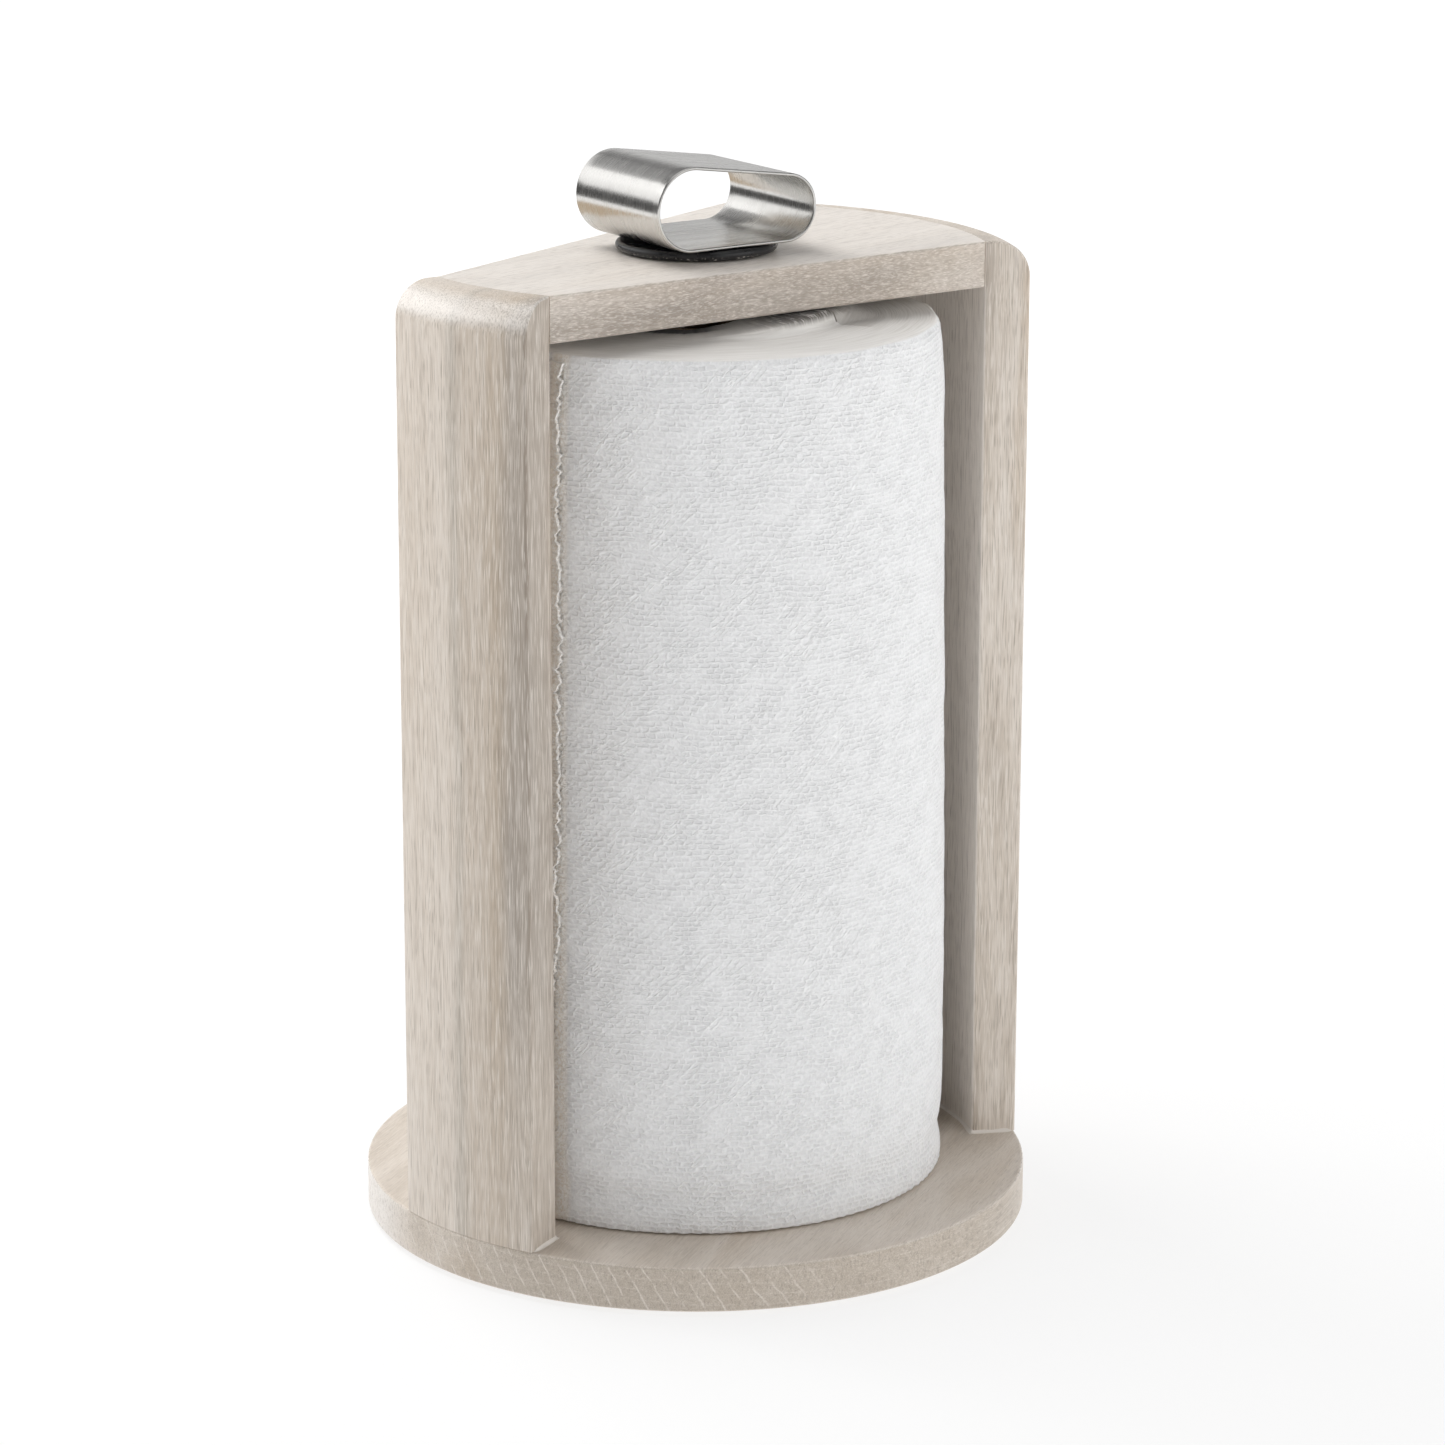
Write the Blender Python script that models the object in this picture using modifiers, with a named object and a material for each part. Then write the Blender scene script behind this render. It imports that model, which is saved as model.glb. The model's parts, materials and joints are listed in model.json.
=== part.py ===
"""A countertop paper towel holder of limed hardwood, with a lift-out steel spindle and a roll on it.

A round base carries two upright staves, cut from one ring that is flush with the base's rim: a narrow one at -X and
a wide one at +X. A wedge-shaped board joins their tops. The spindle hangs from an oval steel handle, through a rubber
washer, the board and the roll's core, into a socket in the base. Metres, +Z up; the origin is the centre of the
circle that the four feet stand in, at the level of the worktop.
"""

import math

import bmesh
import bpy
from mathutils import Matrix, Vector

# Fits
GAP = 0.0003  # between pieces that touch
RUNNING = 0.0004  # between the turning spindle and what guides it

# Base, feet and staves
BASE_RADIUS = 0.095
BASE_THICKNESS = 0.013
STAVE_WALL = 0.013
STAVE_HEIGHT = 0.264  # from the base's top face
STAVE_FILLET = 0.0102  # along the outer top edge
NARROW_HALF_ANGLE = math.radians(15.2)
WIDE_HALF_ANGLE = math.radians(37.3)
EASED_EDGE = 0.0005
FOOT_RADIUS = 0.006
FOOT_THICKNESS = 0.001
FOOT_CIRCLE = 0.068
FEET = 4

# Top board and its joints
BOARD_THICKNESS = 0.013
DOWEL_RADIUS = 0.003
DOWEL_IN_BOARD = 0.015
DOWEL_IN_STAVE = 0.007
NARROW_DOWELS = (-0.012, 0.012)  # their Y
WIDE_DOWELS = (-0.028, 0.0, 0.028)
SCREW_LENGTH = 0.028
SCREW_SHANK = 0.00175
SCREW_HEAD = 0.0035
SCREW_HEAD_DEPTH = 0.0024
SCREW_RECESS = 0.0005  # of the head below the base's underside
NARROW_SCREWS = (math.radians(172), math.radians(188))
WIDE_SCREWS = (math.radians(-26), 0.0, math.radians(26))

# Spindle
ROD_RADIUS = 0.008
ROD_WALL = 0.001
PLUG_HEAD = 0.0015
PLUG_LENGTH = 0.018
STUD_RADIUS = 0.0027
STUD_LENGTH = 0.015
STUD_FLANGE = 0.0042
TIP_STEM = 0.012
TIP_DOME = 0.004
LINER_WALL = 0.0016  # of the bush and the socket
SOCKET_DEPTH = 0.0088
WASHER_RADIUS = 0.0225
WASHER_THICKNESS = 0.0027
WASHER_HOLE = 0.0046

# Handle: a tapered oval loop, with its larger end towards the narrow stave
HANDLE_BIG = 0.0118
HANDLE_SMALL = 0.0096
HANDLE_CENTRES = 0.0310
HANDLE_DEPTH = 0.0416
HANDLE_WALL = 0.0009
HANDLE_TURN = math.radians(-13.05)
HANDLE_SHIFT = 0.0009  # of the loop's middle along its long direction, from the spindle's axis

# Paper roll
ROLL_RADIUS = 0.0710
ROLL_HEIGHT = 0.246
ROLL_EDGE = 0.0012
CORE_INNER = 0.0225
CORE_WALL = 0.0008

# Levels
BASE_BOTTOM = FOOT_THICKNESS + GAP
BASE_TOP = BASE_BOTTOM + BASE_THICKNESS
TOP = BASE_TOP + STAVE_HEIGHT
BOARD_BOTTOM = TOP - BOARD_THICKNESS
BOARD_MIDDLE = TOP - BOARD_THICKNESS / 2
STAVE_INNER = BASE_RADIUS - STAVE_WALL
BOARD_RADIUS = STAVE_INNER - GAP
LINER_OUTER = ROD_RADIUS + RUNNING + LINER_WALL
SOCKET_BOTTOM = BASE_TOP - SOCKET_DEPTH
WASHER_BOTTOM = TOP + GAP
WASHER_TOP = WASHER_BOTTOM + WASHER_THICKNESS
HANDLE_BOTTOM = WASHER_TOP + GAP

# Facets
COARSE = 80
MIDDLING = 48
FINE = 32
SMALL = 16
THROUGH = 0.001  # how far a cutter runs past a face


def clear_scene():
    for item in list(bpy.data.objects):
        bpy.data.objects.remove(item, do_unlink=True)
    for group in list(bpy.data.collections):
        bpy.data.collections.remove(group)


def collection(name):
    group = bpy.data.collections.new(name)
    bpy.context.scene.collection.children.link(group)
    return group


def material(name, colour, roughness, metallic=0.0):
    made = bpy.data.materials.new(name)
    made.use_nodes = True
    shader = made.node_tree.nodes["Principled BSDF"]
    shader.inputs["Base Color"].default_value = (*colour, 1.0)
    shader.inputs["Roughness"].default_value = roughness
    shader.inputs["Metallic"].default_value = metallic
    made.diffuse_color = (*colour, 1.0)
    return made


def add(name, data, group, surface=None, parent=None):
    item = bpy.data.objects.new(name, data)
    group.objects.link(item)
    if surface:
        data.materials.append(surface)
    if parent:
        item.parent = parent
    return item


def hide_cutter(item):
    item.display_type = "WIRE"
    item.hide_render = True
    return item


def arc(centre, radius, start, end, steps):
    """Points on an arc in a plane, from angle start to angle end, both included."""
    points = []
    for step in range(steps + 1):
        angle = start + (end - start) * step / steps
        points.append((centre[0] + radius * math.cos(angle), centre[1] + radius * math.sin(angle)))
    return points


def turned(name, profile, group, surface=None, parent=None, segments=FINE, closed=False):
    """A turned piece. Its profile of (radius, height) points runs down the outer side."""
    count = len(profile)
    edges = [(i, i + 1) for i in range(count - 1)]
    if closed:
        edges.append((count - 1, 0))
    mesh = bpy.data.meshes.new(name)
    mesh.from_pydata([(r, 0.0, z) for r, z in profile], edges, [])
    item = add(name, mesh, group, surface, parent)
    screw = item.modifiers.new("Turn", "SCREW")
    screw.axis = "Z"
    screw.angle = math.tau
    screw.steps = segments
    screw.render_steps = segments
    screw.use_merge_vertices = True
    screw.merge_threshold = 0.00001
    screw.use_smooth_shade = True
    return item


def ring_profile(inner, outer, bottom, top, chamfer=0.0):
    """A closed ring section with its outer corners chamfered."""
    if not chamfer:
        return [(inner, top), (outer, top), (outer, bottom), (inner, bottom)]
    return [
        (inner, top),
        (outer - chamfer, top),
        (outer, top - chamfer),
        (outer, bottom + chamfer),
        (outer - chamfer, bottom),
        (inner, bottom),
    ]


def prism(name, loops, depth, group, surface=None, parent=None):
    """A flat outline with holes, centred on its own XY plane, as a closed mesh depth thick."""
    curve = bpy.data.curves.new(name, "CURVE")
    curve.dimensions = "2D"
    curve.fill_mode = "BOTH"
    curve.extrude = depth / 2
    for loop in loops:
        spline = curve.splines.new("POLY")
        spline.points.add(len(loop) - 1)
        for point, (x, y) in zip(spline.points, loop):
            point.co = (x, y, 0.0, 1.0)
        spline.use_cyclic_u = True
    outline = bpy.data.objects.new(name + "_outline", curve)
    group.objects.link(outline)
    bpy.context.view_layer.update()
    seen = outline.evaluated_get(bpy.context.evaluated_depsgraph_get())
    mesh = bpy.data.meshes.new_from_object(seen)
    bpy.data.objects.remove(outline, do_unlink=True)
    mesh.name = name
    mesh.materials.clear()
    weld_mesh(mesh)
    return add(name, mesh, group, surface, parent)


def weld_mesh(mesh):
    work = bmesh.new()
    work.from_mesh(mesh)
    bmesh.ops.remove_doubles(work, verts=work.verts, dist=0.00001)
    bmesh.ops.recalc_face_normals(work, faces=work.faces)
    work.to_mesh(mesh)
    work.free()


def peg_cutter(name, radius, start, end, group, segments=SMALL):
    """A round cutter between two points, as a mesh cylinder."""
    start = Vector(start)
    end = Vector(end)
    along = end - start
    mesh = bpy.data.meshes.new(name)
    work = bmesh.new()
    bmesh.ops.create_cone(
        work, cap_ends=True, segments=segments, radius1=radius, radius2=radius, depth=along.length
    )
    work.to_mesh(mesh)
    work.free()
    item = add(name, mesh, group)
    item.location = (start + end) / 2
    item.rotation_mode = "QUATERNION"
    item.rotation_quaternion = Vector((0, 0, 1)).rotation_difference(along)
    return hide_cutter(item)


def cut(item, cutter, operation="DIFFERENCE"):
    boolean = item.modifiers.new(cutter.name, "BOOLEAN")
    boolean.operation = operation
    boolean.solver = "EXACT"
    boolean.object = cutter


def ease(item, width=EASED_EDGE, segments=1, angle=math.radians(50)):
    """Rounds a piece's sharp edges. Holes that are cut afterwards stay crisp."""
    bevel = item.modifiers.new("Eased edges", "BEVEL")
    bevel.width = width
    bevel.segments = segments
    bevel.limit_method = "ANGLE"
    bevel.angle_limit = angle
    bevel.use_clamp_overlap = True


# The joints between the wooden pieces


def dowels():
    """Each board dowel as (number, inner end x, outer end x, y), x growing away from the board's middle."""
    places = [(-1, y) for y in NARROW_DOWELS] + [(1, y) for y in WIDE_DOWELS]
    found = []
    for number, (side, y) in enumerate(places, 1):
        seam = math.sqrt(STAVE_INNER**2 - y**2)
        found.append((number, side * (seam - DOWEL_IN_BOARD), side * (seam + DOWEL_IN_STAVE), y))
    return found


def screw_places():
    radius = BASE_RADIUS - STAVE_WALL / 2
    angles = NARROW_SCREWS + WIDE_SCREWS
    return [(radius * math.cos(a), radius * math.sin(a)) for a in angles]


# The wooden pieces


def make_base(group, cutters, wood):
    profile = [(0, BASE_TOP)]
    profile += arc((BASE_RADIUS - EASED_EDGE, BASE_TOP - EASED_EDGE), EASED_EDGE, math.pi / 2, 0, 1)
    profile += arc((BASE_RADIUS - EASED_EDGE, BASE_BOTTOM + EASED_EDGE), EASED_EDGE, 0, -math.pi / 2, 1)
    profile.append((0, BASE_BOTTOM))
    base = turned("base_disc", profile, group, wood, segments=COARSE)
    socket = peg_cutter(
        "base_socket_hole",
        LINER_OUTER + GAP,
        (0, 0, SOCKET_BOTTOM),
        (0, 0, BASE_TOP + THROUGH),
        cutters,
        FINE,
    )
    cut(base, socket)
    head = SCREW_HEAD + GAP
    shank = SCREW_SHANK + GAP
    low = BASE_BOTTOM + SCREW_RECESS
    profile = [
        (0, BASE_TOP + THROUGH),
        (shank, BASE_TOP + THROUGH),
        (shank, low + SCREW_HEAD_DEPTH),
        (head, low),
        (head, BASE_BOTTOM - THROUGH),
        (0, BASE_BOTTOM - THROUGH),
    ]
    for number, (x, y) in enumerate(screw_places(), 1):
        hole = hide_cutter(turned(f"base_screw_hole_{number}", profile, cutters, segments=SMALL))
        hole.location = (x, y, 0)
        cut(base, hole)


def make_stave(name, middle, half_angle, group, cutters, wood):
    """One stave: a sector of the ring, rounded along its outer top edge."""
    bottom = BASE_TOP + GAP
    corner = (BASE_RADIUS - STAVE_FILLET, TOP - STAVE_FILLET)
    profile = [(STAVE_INNER, TOP)]
    profile += arc(corner, STAVE_FILLET, math.pi / 2, 0, 6)
    profile += [(BASE_RADIUS, bottom), (STAVE_INNER, bottom)]
    stave = turned(name, profile, group, wood, segments=COARSE, closed=True)
    reach = 2 * BASE_RADIUS
    corners = [
        (reach * math.cos(middle - half_angle), reach * math.sin(middle - half_angle)),
        (reach * math.cos(middle + half_angle), reach * math.sin(middle + half_angle)),
    ]
    sector = prism(name + "_sector", [[(0.0, 0.0)] + corners], 2 * TOP, cutters)
    sector.location.z = TOP / 2
    cut(stave, hide_cutter(sector), "INTERSECT")
    ease(stave)
    return stave


def make_staves(group, cutters, wood):
    narrow = make_stave("narrow_upright", math.pi, NARROW_HALF_ANGLE, group, cutters, wood)
    wide = make_stave("wide_upright", 0.0, WIDE_HALF_ANGLE, group, cutters, wood)
    for number, inner, outer, y in dowels():
        side = math.copysign(1, outer)
        start = (inner + side * DOWEL_IN_BOARD / 2, y, BOARD_MIDDLE)
        end = (outer + side * GAP, y, BOARD_MIDDLE)
        hole = peg_cutter(f"stave_dowel_hole_{number}", DOWEL_RADIUS + GAP, start, end, cutters)
        cut(narrow if side < 0 else wide, hole)
    screw_tip = BASE_BOTTOM + SCREW_RECESS + SCREW_LENGTH + GAP
    for number, (x, y) in enumerate(screw_places(), 1):
        start = (x, y, BASE_TOP - THROUGH)
        hole = peg_cutter(
            f"stave_screw_hole_{number}", SCREW_SHANK + GAP, start, (x, y, screw_tip), cutters
        )
        cut(narrow if x < 0 else wide, hole)


def make_board(group, cutters, wood):
    """The wedge between the staves: straight sides, and ends that follow the staves' inner faces."""
    outline = arc((0, 0), BOARD_RADIUS, -WIDE_HALF_ANGLE, WIDE_HALF_ANGLE, 16)
    outline += arc((0, 0), BOARD_RADIUS, math.pi - NARROW_HALF_ANGLE, math.pi + NARROW_HALF_ANGLE, 6)
    board = prism("top_board", [outline], BOARD_THICKNESS, group, wood)
    board.location.z = BOARD_MIDDLE
    ease(board)
    half = BOARD_THICKNESS / 2 + THROUGH
    hole = peg_cutter(
        "board_bush_hole",
        LINER_OUTER + GAP,
        (0, 0, BOARD_MIDDLE - half),
        (0, 0, BOARD_MIDDLE + half),
        cutters,
        FINE,
    )
    cut(board, hole)
    for number, inner, outer, y in dowels():
        start = (inner - math.copysign(GAP, inner), y, BOARD_MIDDLE)
        end = (outer, y, BOARD_MIDDLE)
        hole = peg_cutter(f"board_dowel_hole_{number}", DOWEL_RADIUS + GAP, start, end, cutters)
        cut(board, hole)


def make_dowels(group, wood):
    """Fluted dowels are drawn plain, with chamfered ends."""
    length = DOWEL_IN_BOARD + DOWEL_IN_STAVE
    chamfer = 0.0006
    profile = [
        (0, length / 2),
        (DOWEL_RADIUS - chamfer, length / 2),
        (DOWEL_RADIUS, length / 2 - chamfer),
        (DOWEL_RADIUS, chamfer - length / 2),
        (DOWEL_RADIUS - chamfer, -length / 2),
        (0, -length / 2),
    ]
    for number, inner, outer, y in dowels():
        dowel = turned(f"board_dowel_{number}", profile, group, wood, segments=SMALL)
        dowel.location = ((inner + outer) / 2, y, BOARD_MIDDLE)
        dowel.rotation_euler.y = math.pi / 2


def make_screws(group, cutters, steel):
    """Countersunk wood screws, head down, each with a crossed recess in its head."""
    point = 0.004
    profile = [
        (0, SCREW_LENGTH),
        (SCREW_SHANK, SCREW_LENGTH - point),
        (SCREW_SHANK, SCREW_HEAD_DEPTH),
        (SCREW_HEAD, 0.0002),
        (SCREW_HEAD, 0),
        (0, 0),
    ]
    slot = (0.0008, 0.0040, 0.0024)
    for number, (x, y) in enumerate(screw_places(), 1):
        place = Vector((x, y, BASE_BOTTOM + SCREW_RECESS))
        screw = turned(f"upright_screw_{number}", profile, group, steel, segments=SMALL)
        screw.location = place
        for turn, name in enumerate(("a", "b")):
            recess = box_cutter(f"screw_recess_{number}{name}", slot, cutters)
            recess.location = place
            recess.rotation_euler.z = turn * math.pi / 2
            cut(screw, recess)


def box_cutter(name, size, group):
    mesh = bpy.data.meshes.new(name)
    work = bmesh.new()
    bmesh.ops.create_cube(work, size=1.0, matrix=Matrix.Diagonal((*size, 1.0)))
    work.to_mesh(mesh)
    work.free()
    return hide_cutter(add(name, mesh, group))


def make_feet(group, rubber):
    edge = 0.0003
    profile = [
        (0, FOOT_THICKNESS),
        (FOOT_RADIUS, FOOT_THICKNESS),
        (FOOT_RADIUS, edge),
        (FOOT_RADIUS - edge, 0),
        (0, 0),
    ]
    for number in range(1, FEET + 1):
        angle = math.tau * (number - 0.5) / FEET
        foot = turned(f"foot_{number}", profile, group, rubber, segments=SMALL)
        foot.location = (FOOT_CIRCLE * math.cos(angle), FOOT_CIRCLE * math.sin(angle), 0)


def make_liners(group, plastic):
    """The bush in the board and the cup in the base that guide the spindle."""
    bore = ROD_RADIUS + RUNNING
    profile = ring_profile(bore, LINER_OUTER, BOARD_BOTTOM + GAP, TOP - GAP, 0.0004)
    turned("board_bush", profile, group, plastic, closed=True)
    low = SOCKET_BOTTOM + GAP
    high = BASE_TOP - GAP
    floor = low + LINER_WALL
    profile = [
        (0, floor),
        (bore - 0.002, floor),
        (bore, floor + 0.002),
        (bore, high),
        (LINER_OUTER, high),
        (LINER_OUTER, low),
        (0, low),
    ]
    turned("base_socket", profile, group, plastic)


# The spindle and its handle


def make_washer(group, parent, rubber):
    """A rubber disc with full round rims."""
    radius = WASHER_THICKNESS / 2
    middle = WASHER_BOTTOM + radius
    profile = [(WASHER_HOLE, WASHER_TOP)]
    profile += arc((WASHER_RADIUS - radius, middle), radius, math.pi / 2, -math.pi / 2, 6)
    profile.append((WASHER_HOLE, WASHER_BOTTOM))
    turned("spindle_washer", profile, group, rubber, parent, segments=MIDDLING, closed=True)


def oval(inset, steps=12):
    """The handle's section: two arcs of unlike radius on one flat floor, joined by straight runs."""
    big = HANDLE_BIG - inset
    small = HANDLE_SMALL - inset
    slope = 2 * math.atan2(HANDLE_BIG - HANDLE_SMALL, HANDLE_CENTRES)
    left = (HANDLE_SHIFT - HANDLE_CENTRES / 2, HANDLE_BIG)
    right = (HANDLE_SHIFT + HANDLE_CENTRES / 2, HANDLE_SMALL)
    points = arc(right, small, -math.pi / 2, math.pi / 2 - slope, steps)
    points += arc(left, big, math.pi / 2 - slope, 3 * math.pi / 2, steps)
    return points


def make_handle(group, parent, steel):
    handle = prism("handle_sleeve", [oval(0), oval(HANDLE_WALL)], HANDLE_DEPTH, group, steel, parent)
    handle.location.z = HANDLE_BOTTOM
    handle.rotation_euler = (math.pi / 2, 0, HANDLE_TURN)
    ease(handle, 0.00025)
    handle.data.shade_smooth()
    handle.data.set_sharp_from_angle(angle=math.radians(30))


def make_spindle(group, parent, steel, zinc, nylon):
    """The stud, the plug that it screws into, the tube and its tip, from the top down."""
    top = HANDLE_BOTTOM - GAP
    shank_top = top - 0.0010
    profile = [
        (0, top),
        (STUD_FLANGE, top),
        (STUD_FLANGE, shank_top),
        (STUD_RADIUS, shank_top),
        (STUD_RADIUS, top - STUD_LENGTH + 0.0006),
        (STUD_RADIUS - 0.0006, top - STUD_LENGTH),
        (0, top - STUD_LENGTH),
    ]
    turned("handle_stud", profile, group, zinc, parent)

    bore = STUD_RADIUS + GAP
    stem = ROD_RADIUS - ROD_WALL - GAP
    head_top = WASHER_BOTTOM - GAP
    head_bottom = head_top - PLUG_HEAD
    profile = [
        (bore, head_top),
        (ROD_RADIUS - 0.0003, head_top),
        (ROD_RADIUS, head_top - 0.0003),
        (ROD_RADIUS, head_bottom),
        (stem, head_bottom),
        (stem, head_top - PLUG_LENGTH),
        (bore, head_top - PLUG_LENGTH),
    ]
    turned("rod_plug", profile, group, zinc, parent, closed=True)

    tip_bottom = SOCKET_BOTTOM + GAP + LINER_WALL + GAP
    tip_top = tip_bottom + TIP_DOME
    rod = ring_profile(ROD_RADIUS - ROD_WALL, ROD_RADIUS, tip_top + GAP, head_bottom - GAP)
    turned("spindle_rod", rod, group, steel, parent, closed=True)

    flat = 0.003
    profile = [(0, tip_top + TIP_STEM), (stem, tip_top + TIP_STEM), (stem, tip_top), (ROD_RADIUS, tip_top)]
    steps = 6
    for step in range(1, steps + 1):
        angle = math.pi / 2 * step / steps
        radius = flat + (ROD_RADIUS - flat) * math.cos(angle)
        profile.append((radius, tip_top - TIP_DOME * math.sin(angle)))
    profile.append((0, tip_bottom))
    turned("rod_tip", profile, group, nylon, parent)


# The roll


def make_roll(group, parent, paper, card):
    bottom = BASE_TOP + GAP
    top = bottom + ROLL_HEIGHT
    core_outer = CORE_INNER + CORE_WALL
    inner = core_outer + GAP
    profile = [(inner, top)]
    profile += arc((ROLL_RADIUS - ROLL_EDGE, top - ROLL_EDGE), ROLL_EDGE, math.pi / 2, 0, 2)
    profile += arc((ROLL_RADIUS - ROLL_EDGE, bottom + ROLL_EDGE), ROLL_EDGE, 0, -math.pi / 2, 2)
    profile.append((inner, bottom))
    turned("paper_roll", profile, group, paper, parent, segments=COARSE, closed=True)
    core = ring_profile(CORE_INNER, core_outer, bottom, top - GAP)
    turned("roll_core", core, group, card, parent, segments=MIDDLING, closed=True)


def axis_empty(name, group):
    empty = bpy.data.objects.new(name, None)
    empty.empty_display_size = 0.02
    group.objects.link(empty)
    return empty


def main():
    clear_scene()
    holder = collection("paper_towel_holder")
    cutters = collection("cutters")

    limed_wood = material("limed_wood", (0.60, 0.52, 0.44), 0.55)
    dowel_wood = material("dowel_wood", (0.66, 0.48, 0.30), 0.7)
    brushed_steel = material("brushed_steel", (0.66, 0.65, 0.63), 0.28, 1.0)
    zinc_steel = material("zinc_steel", (0.55, 0.56, 0.58), 0.4, 1.0)
    black_rubber = material("black_rubber", (0.015, 0.015, 0.016), 0.45)
    nylon = material("nylon", (0.75, 0.74, 0.70), 0.5)
    towel_paper = material("towel_paper", (0.86, 0.86, 0.87), 0.9)
    core_card = material("core_card", (0.38, 0.27, 0.17), 0.9)

    make_base(holder, cutters, limed_wood)
    make_staves(holder, cutters, limed_wood)
    make_board(holder, cutters, limed_wood)
    make_dowels(holder, dowel_wood)
    make_screws(holder, cutters, zinc_steel)
    make_feet(holder, black_rubber)
    make_liners(holder, nylon)

    spindle_axis = axis_empty("spindle_axis", holder)
    make_washer(holder, spindle_axis, black_rubber)
    make_handle(holder, spindle_axis, brushed_steel)
    make_spindle(holder, spindle_axis, brushed_steel, zinc_steel, nylon)

    roll_axis = axis_empty("roll_axis", holder)
    make_roll(holder, roll_axis, towel_paper, core_card)


main()
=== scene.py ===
"""How the paper towel holder looks: limed wood, brushed steel, rubber and an embossed paper roll.

Every piece that shows is built here in metres, on the sizes of the CAD nodes that it stands for. Only the
dowels are the CAD's own.
"""

import json
import math

import bmesh
import bpy
from mathutils import Matrix, Vector, noise

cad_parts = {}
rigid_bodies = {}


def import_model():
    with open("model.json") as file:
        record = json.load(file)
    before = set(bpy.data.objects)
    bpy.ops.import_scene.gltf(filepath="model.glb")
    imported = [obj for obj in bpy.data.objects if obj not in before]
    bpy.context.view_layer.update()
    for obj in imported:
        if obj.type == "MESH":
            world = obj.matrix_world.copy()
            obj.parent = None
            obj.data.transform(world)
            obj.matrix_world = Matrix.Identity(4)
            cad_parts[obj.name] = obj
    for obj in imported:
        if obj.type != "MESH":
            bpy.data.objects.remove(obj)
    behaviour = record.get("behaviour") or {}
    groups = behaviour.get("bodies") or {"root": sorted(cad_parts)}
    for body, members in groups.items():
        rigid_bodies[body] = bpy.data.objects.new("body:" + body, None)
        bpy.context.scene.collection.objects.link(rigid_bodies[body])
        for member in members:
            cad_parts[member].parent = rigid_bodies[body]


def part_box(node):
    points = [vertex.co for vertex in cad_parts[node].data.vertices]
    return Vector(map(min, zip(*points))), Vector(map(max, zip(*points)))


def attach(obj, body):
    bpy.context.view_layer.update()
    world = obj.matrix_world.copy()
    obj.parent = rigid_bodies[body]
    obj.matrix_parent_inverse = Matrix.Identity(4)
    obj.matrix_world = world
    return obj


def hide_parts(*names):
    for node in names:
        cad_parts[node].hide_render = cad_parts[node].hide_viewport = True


# Camera
CAMERA_ANGLE = math.radians(223.232)  # from +X, seen from above
CAMERA_DISTANCE = 1.3828
CAMERA_HEIGHT = 0.5161
CAMERA_PITCH = math.radians(15.1157)
CAMERA_YAW = math.radians(-0.311)
CAMERA_ROLL = math.radians(0.130)
CAMERA_LENS = 125.69
CAMERA_SENSOR = 36.0

GAP = 0.0003  # between pieces that touch on the real object
PAST = 0.001  # how far a cutter reaches past the surface that it opens

# Wooden pieces
BASE_RADIUS = 0.095
NARROW_HALF_ANGLE = math.radians(15.2)
WIDE_HALF_ANGLE = math.radians(37.3)
STAVE_WALL = 0.013
STAVE_FILLET = 0.0102
BOARD_THICKNESS = 0.013
BOARD_MIDDLE = 0.2718
NARROW_SEAM = 0.00005
WIDE_SEAM = 0.0002
EASED = 0.0008
BASE_EASED = 0.0009
BEAD = 0.0011
NARROW_DOWELS = (-0.012, 0.012)
WIDE_DOWELS = (-0.028, 0.0, 0.028)
DOWEL_HOLE = 0.0033
DOWEL_IN_BOARD = 0.0153
DOWEL_IN_UPRIGHT = 0.0073
SCREW_ANGLES = (172, 188, -26, 0, 26)  # degrees
SCREW_HOLE = 0.00205
SCREW_SINK = 0.0038
SCREW_SINK_DEPTH = 0.0029
SCREW_START = 0.0005
LINER_HOLE = 0.0103
GRAIN_OF_BASE = math.radians(202)
# The way the base's rim faces where its painted shade is darkest
RIM_SHADE_FACING = math.radians(237)

# Spindle
HANDLE_BIG = 0.01175
HANDLE_SMALL = 0.0096
HANDLE_CENTRES = 0.0310
HANDLE_DEPTH = 0.0416
HANDLE_WALL = 0.0009
HANDLE_TURN = math.radians(-13.05)
HANDLE_SHIFT = 0.0009
WASHER_HOLE = 0.0046
ROD_WALL = 0.001
PLUG_BORE = 0.003
PLUG_HEAD = 0.0015
STUD_COLLAR = (0.0042, 0.001)  # radius and height
STUD_CREST, STUD_ROOT, STUD_PITCH = 0.0027, 0.00235, 0.0008
TIP_DOME = 0.004
TIP_FLAT = 0.003

# Fittings
NYLON_BORE = 0.0084
SOCKET_FLOOR = 0.0016
SOCKET_FILLET = 0.002
SCREW_HEAD = 0.0035
SCREW_CREST, SCREW_ROOT, SCREW_PITCH = 0.00175, 0.0014, 0.0016
CROSS_ARM = (0.002, 0.0004, 0.0012)  # half of a recess's length, width and depth

# Paper roll
CARD_SEAM_PITCH = 0.095
CARD_WALL = 0.0008
SLACK = 0.0022  # how much slimmer the roll is at its top
FREE_EDGE = math.radians(191.8)
NOTCH = math.radians(290.5)
RAISED_RADIUS = 0.0425
RAISED_HEIGHT = 0.0044
EMBOSS_AROUND = 157
EMBOSS_PITCH_UP = 0.00148
RIDGE_TWIST = 13.0  # radians per metre up the roll

# Plain colours
WHITE = (1.0, 1.0, 1.0)
WARM = (1.0, 0.80, 0.58)
STEEL = (0.66, 0.65, 0.63)

# Stage
FLOOR_RADIUS = 30.0
BACKDROP_RADIUS = 15.0
LIGHT_TARGET = (0, 0, 0.14)
CARD_TARGET = (0, 0, 0.29)
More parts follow.
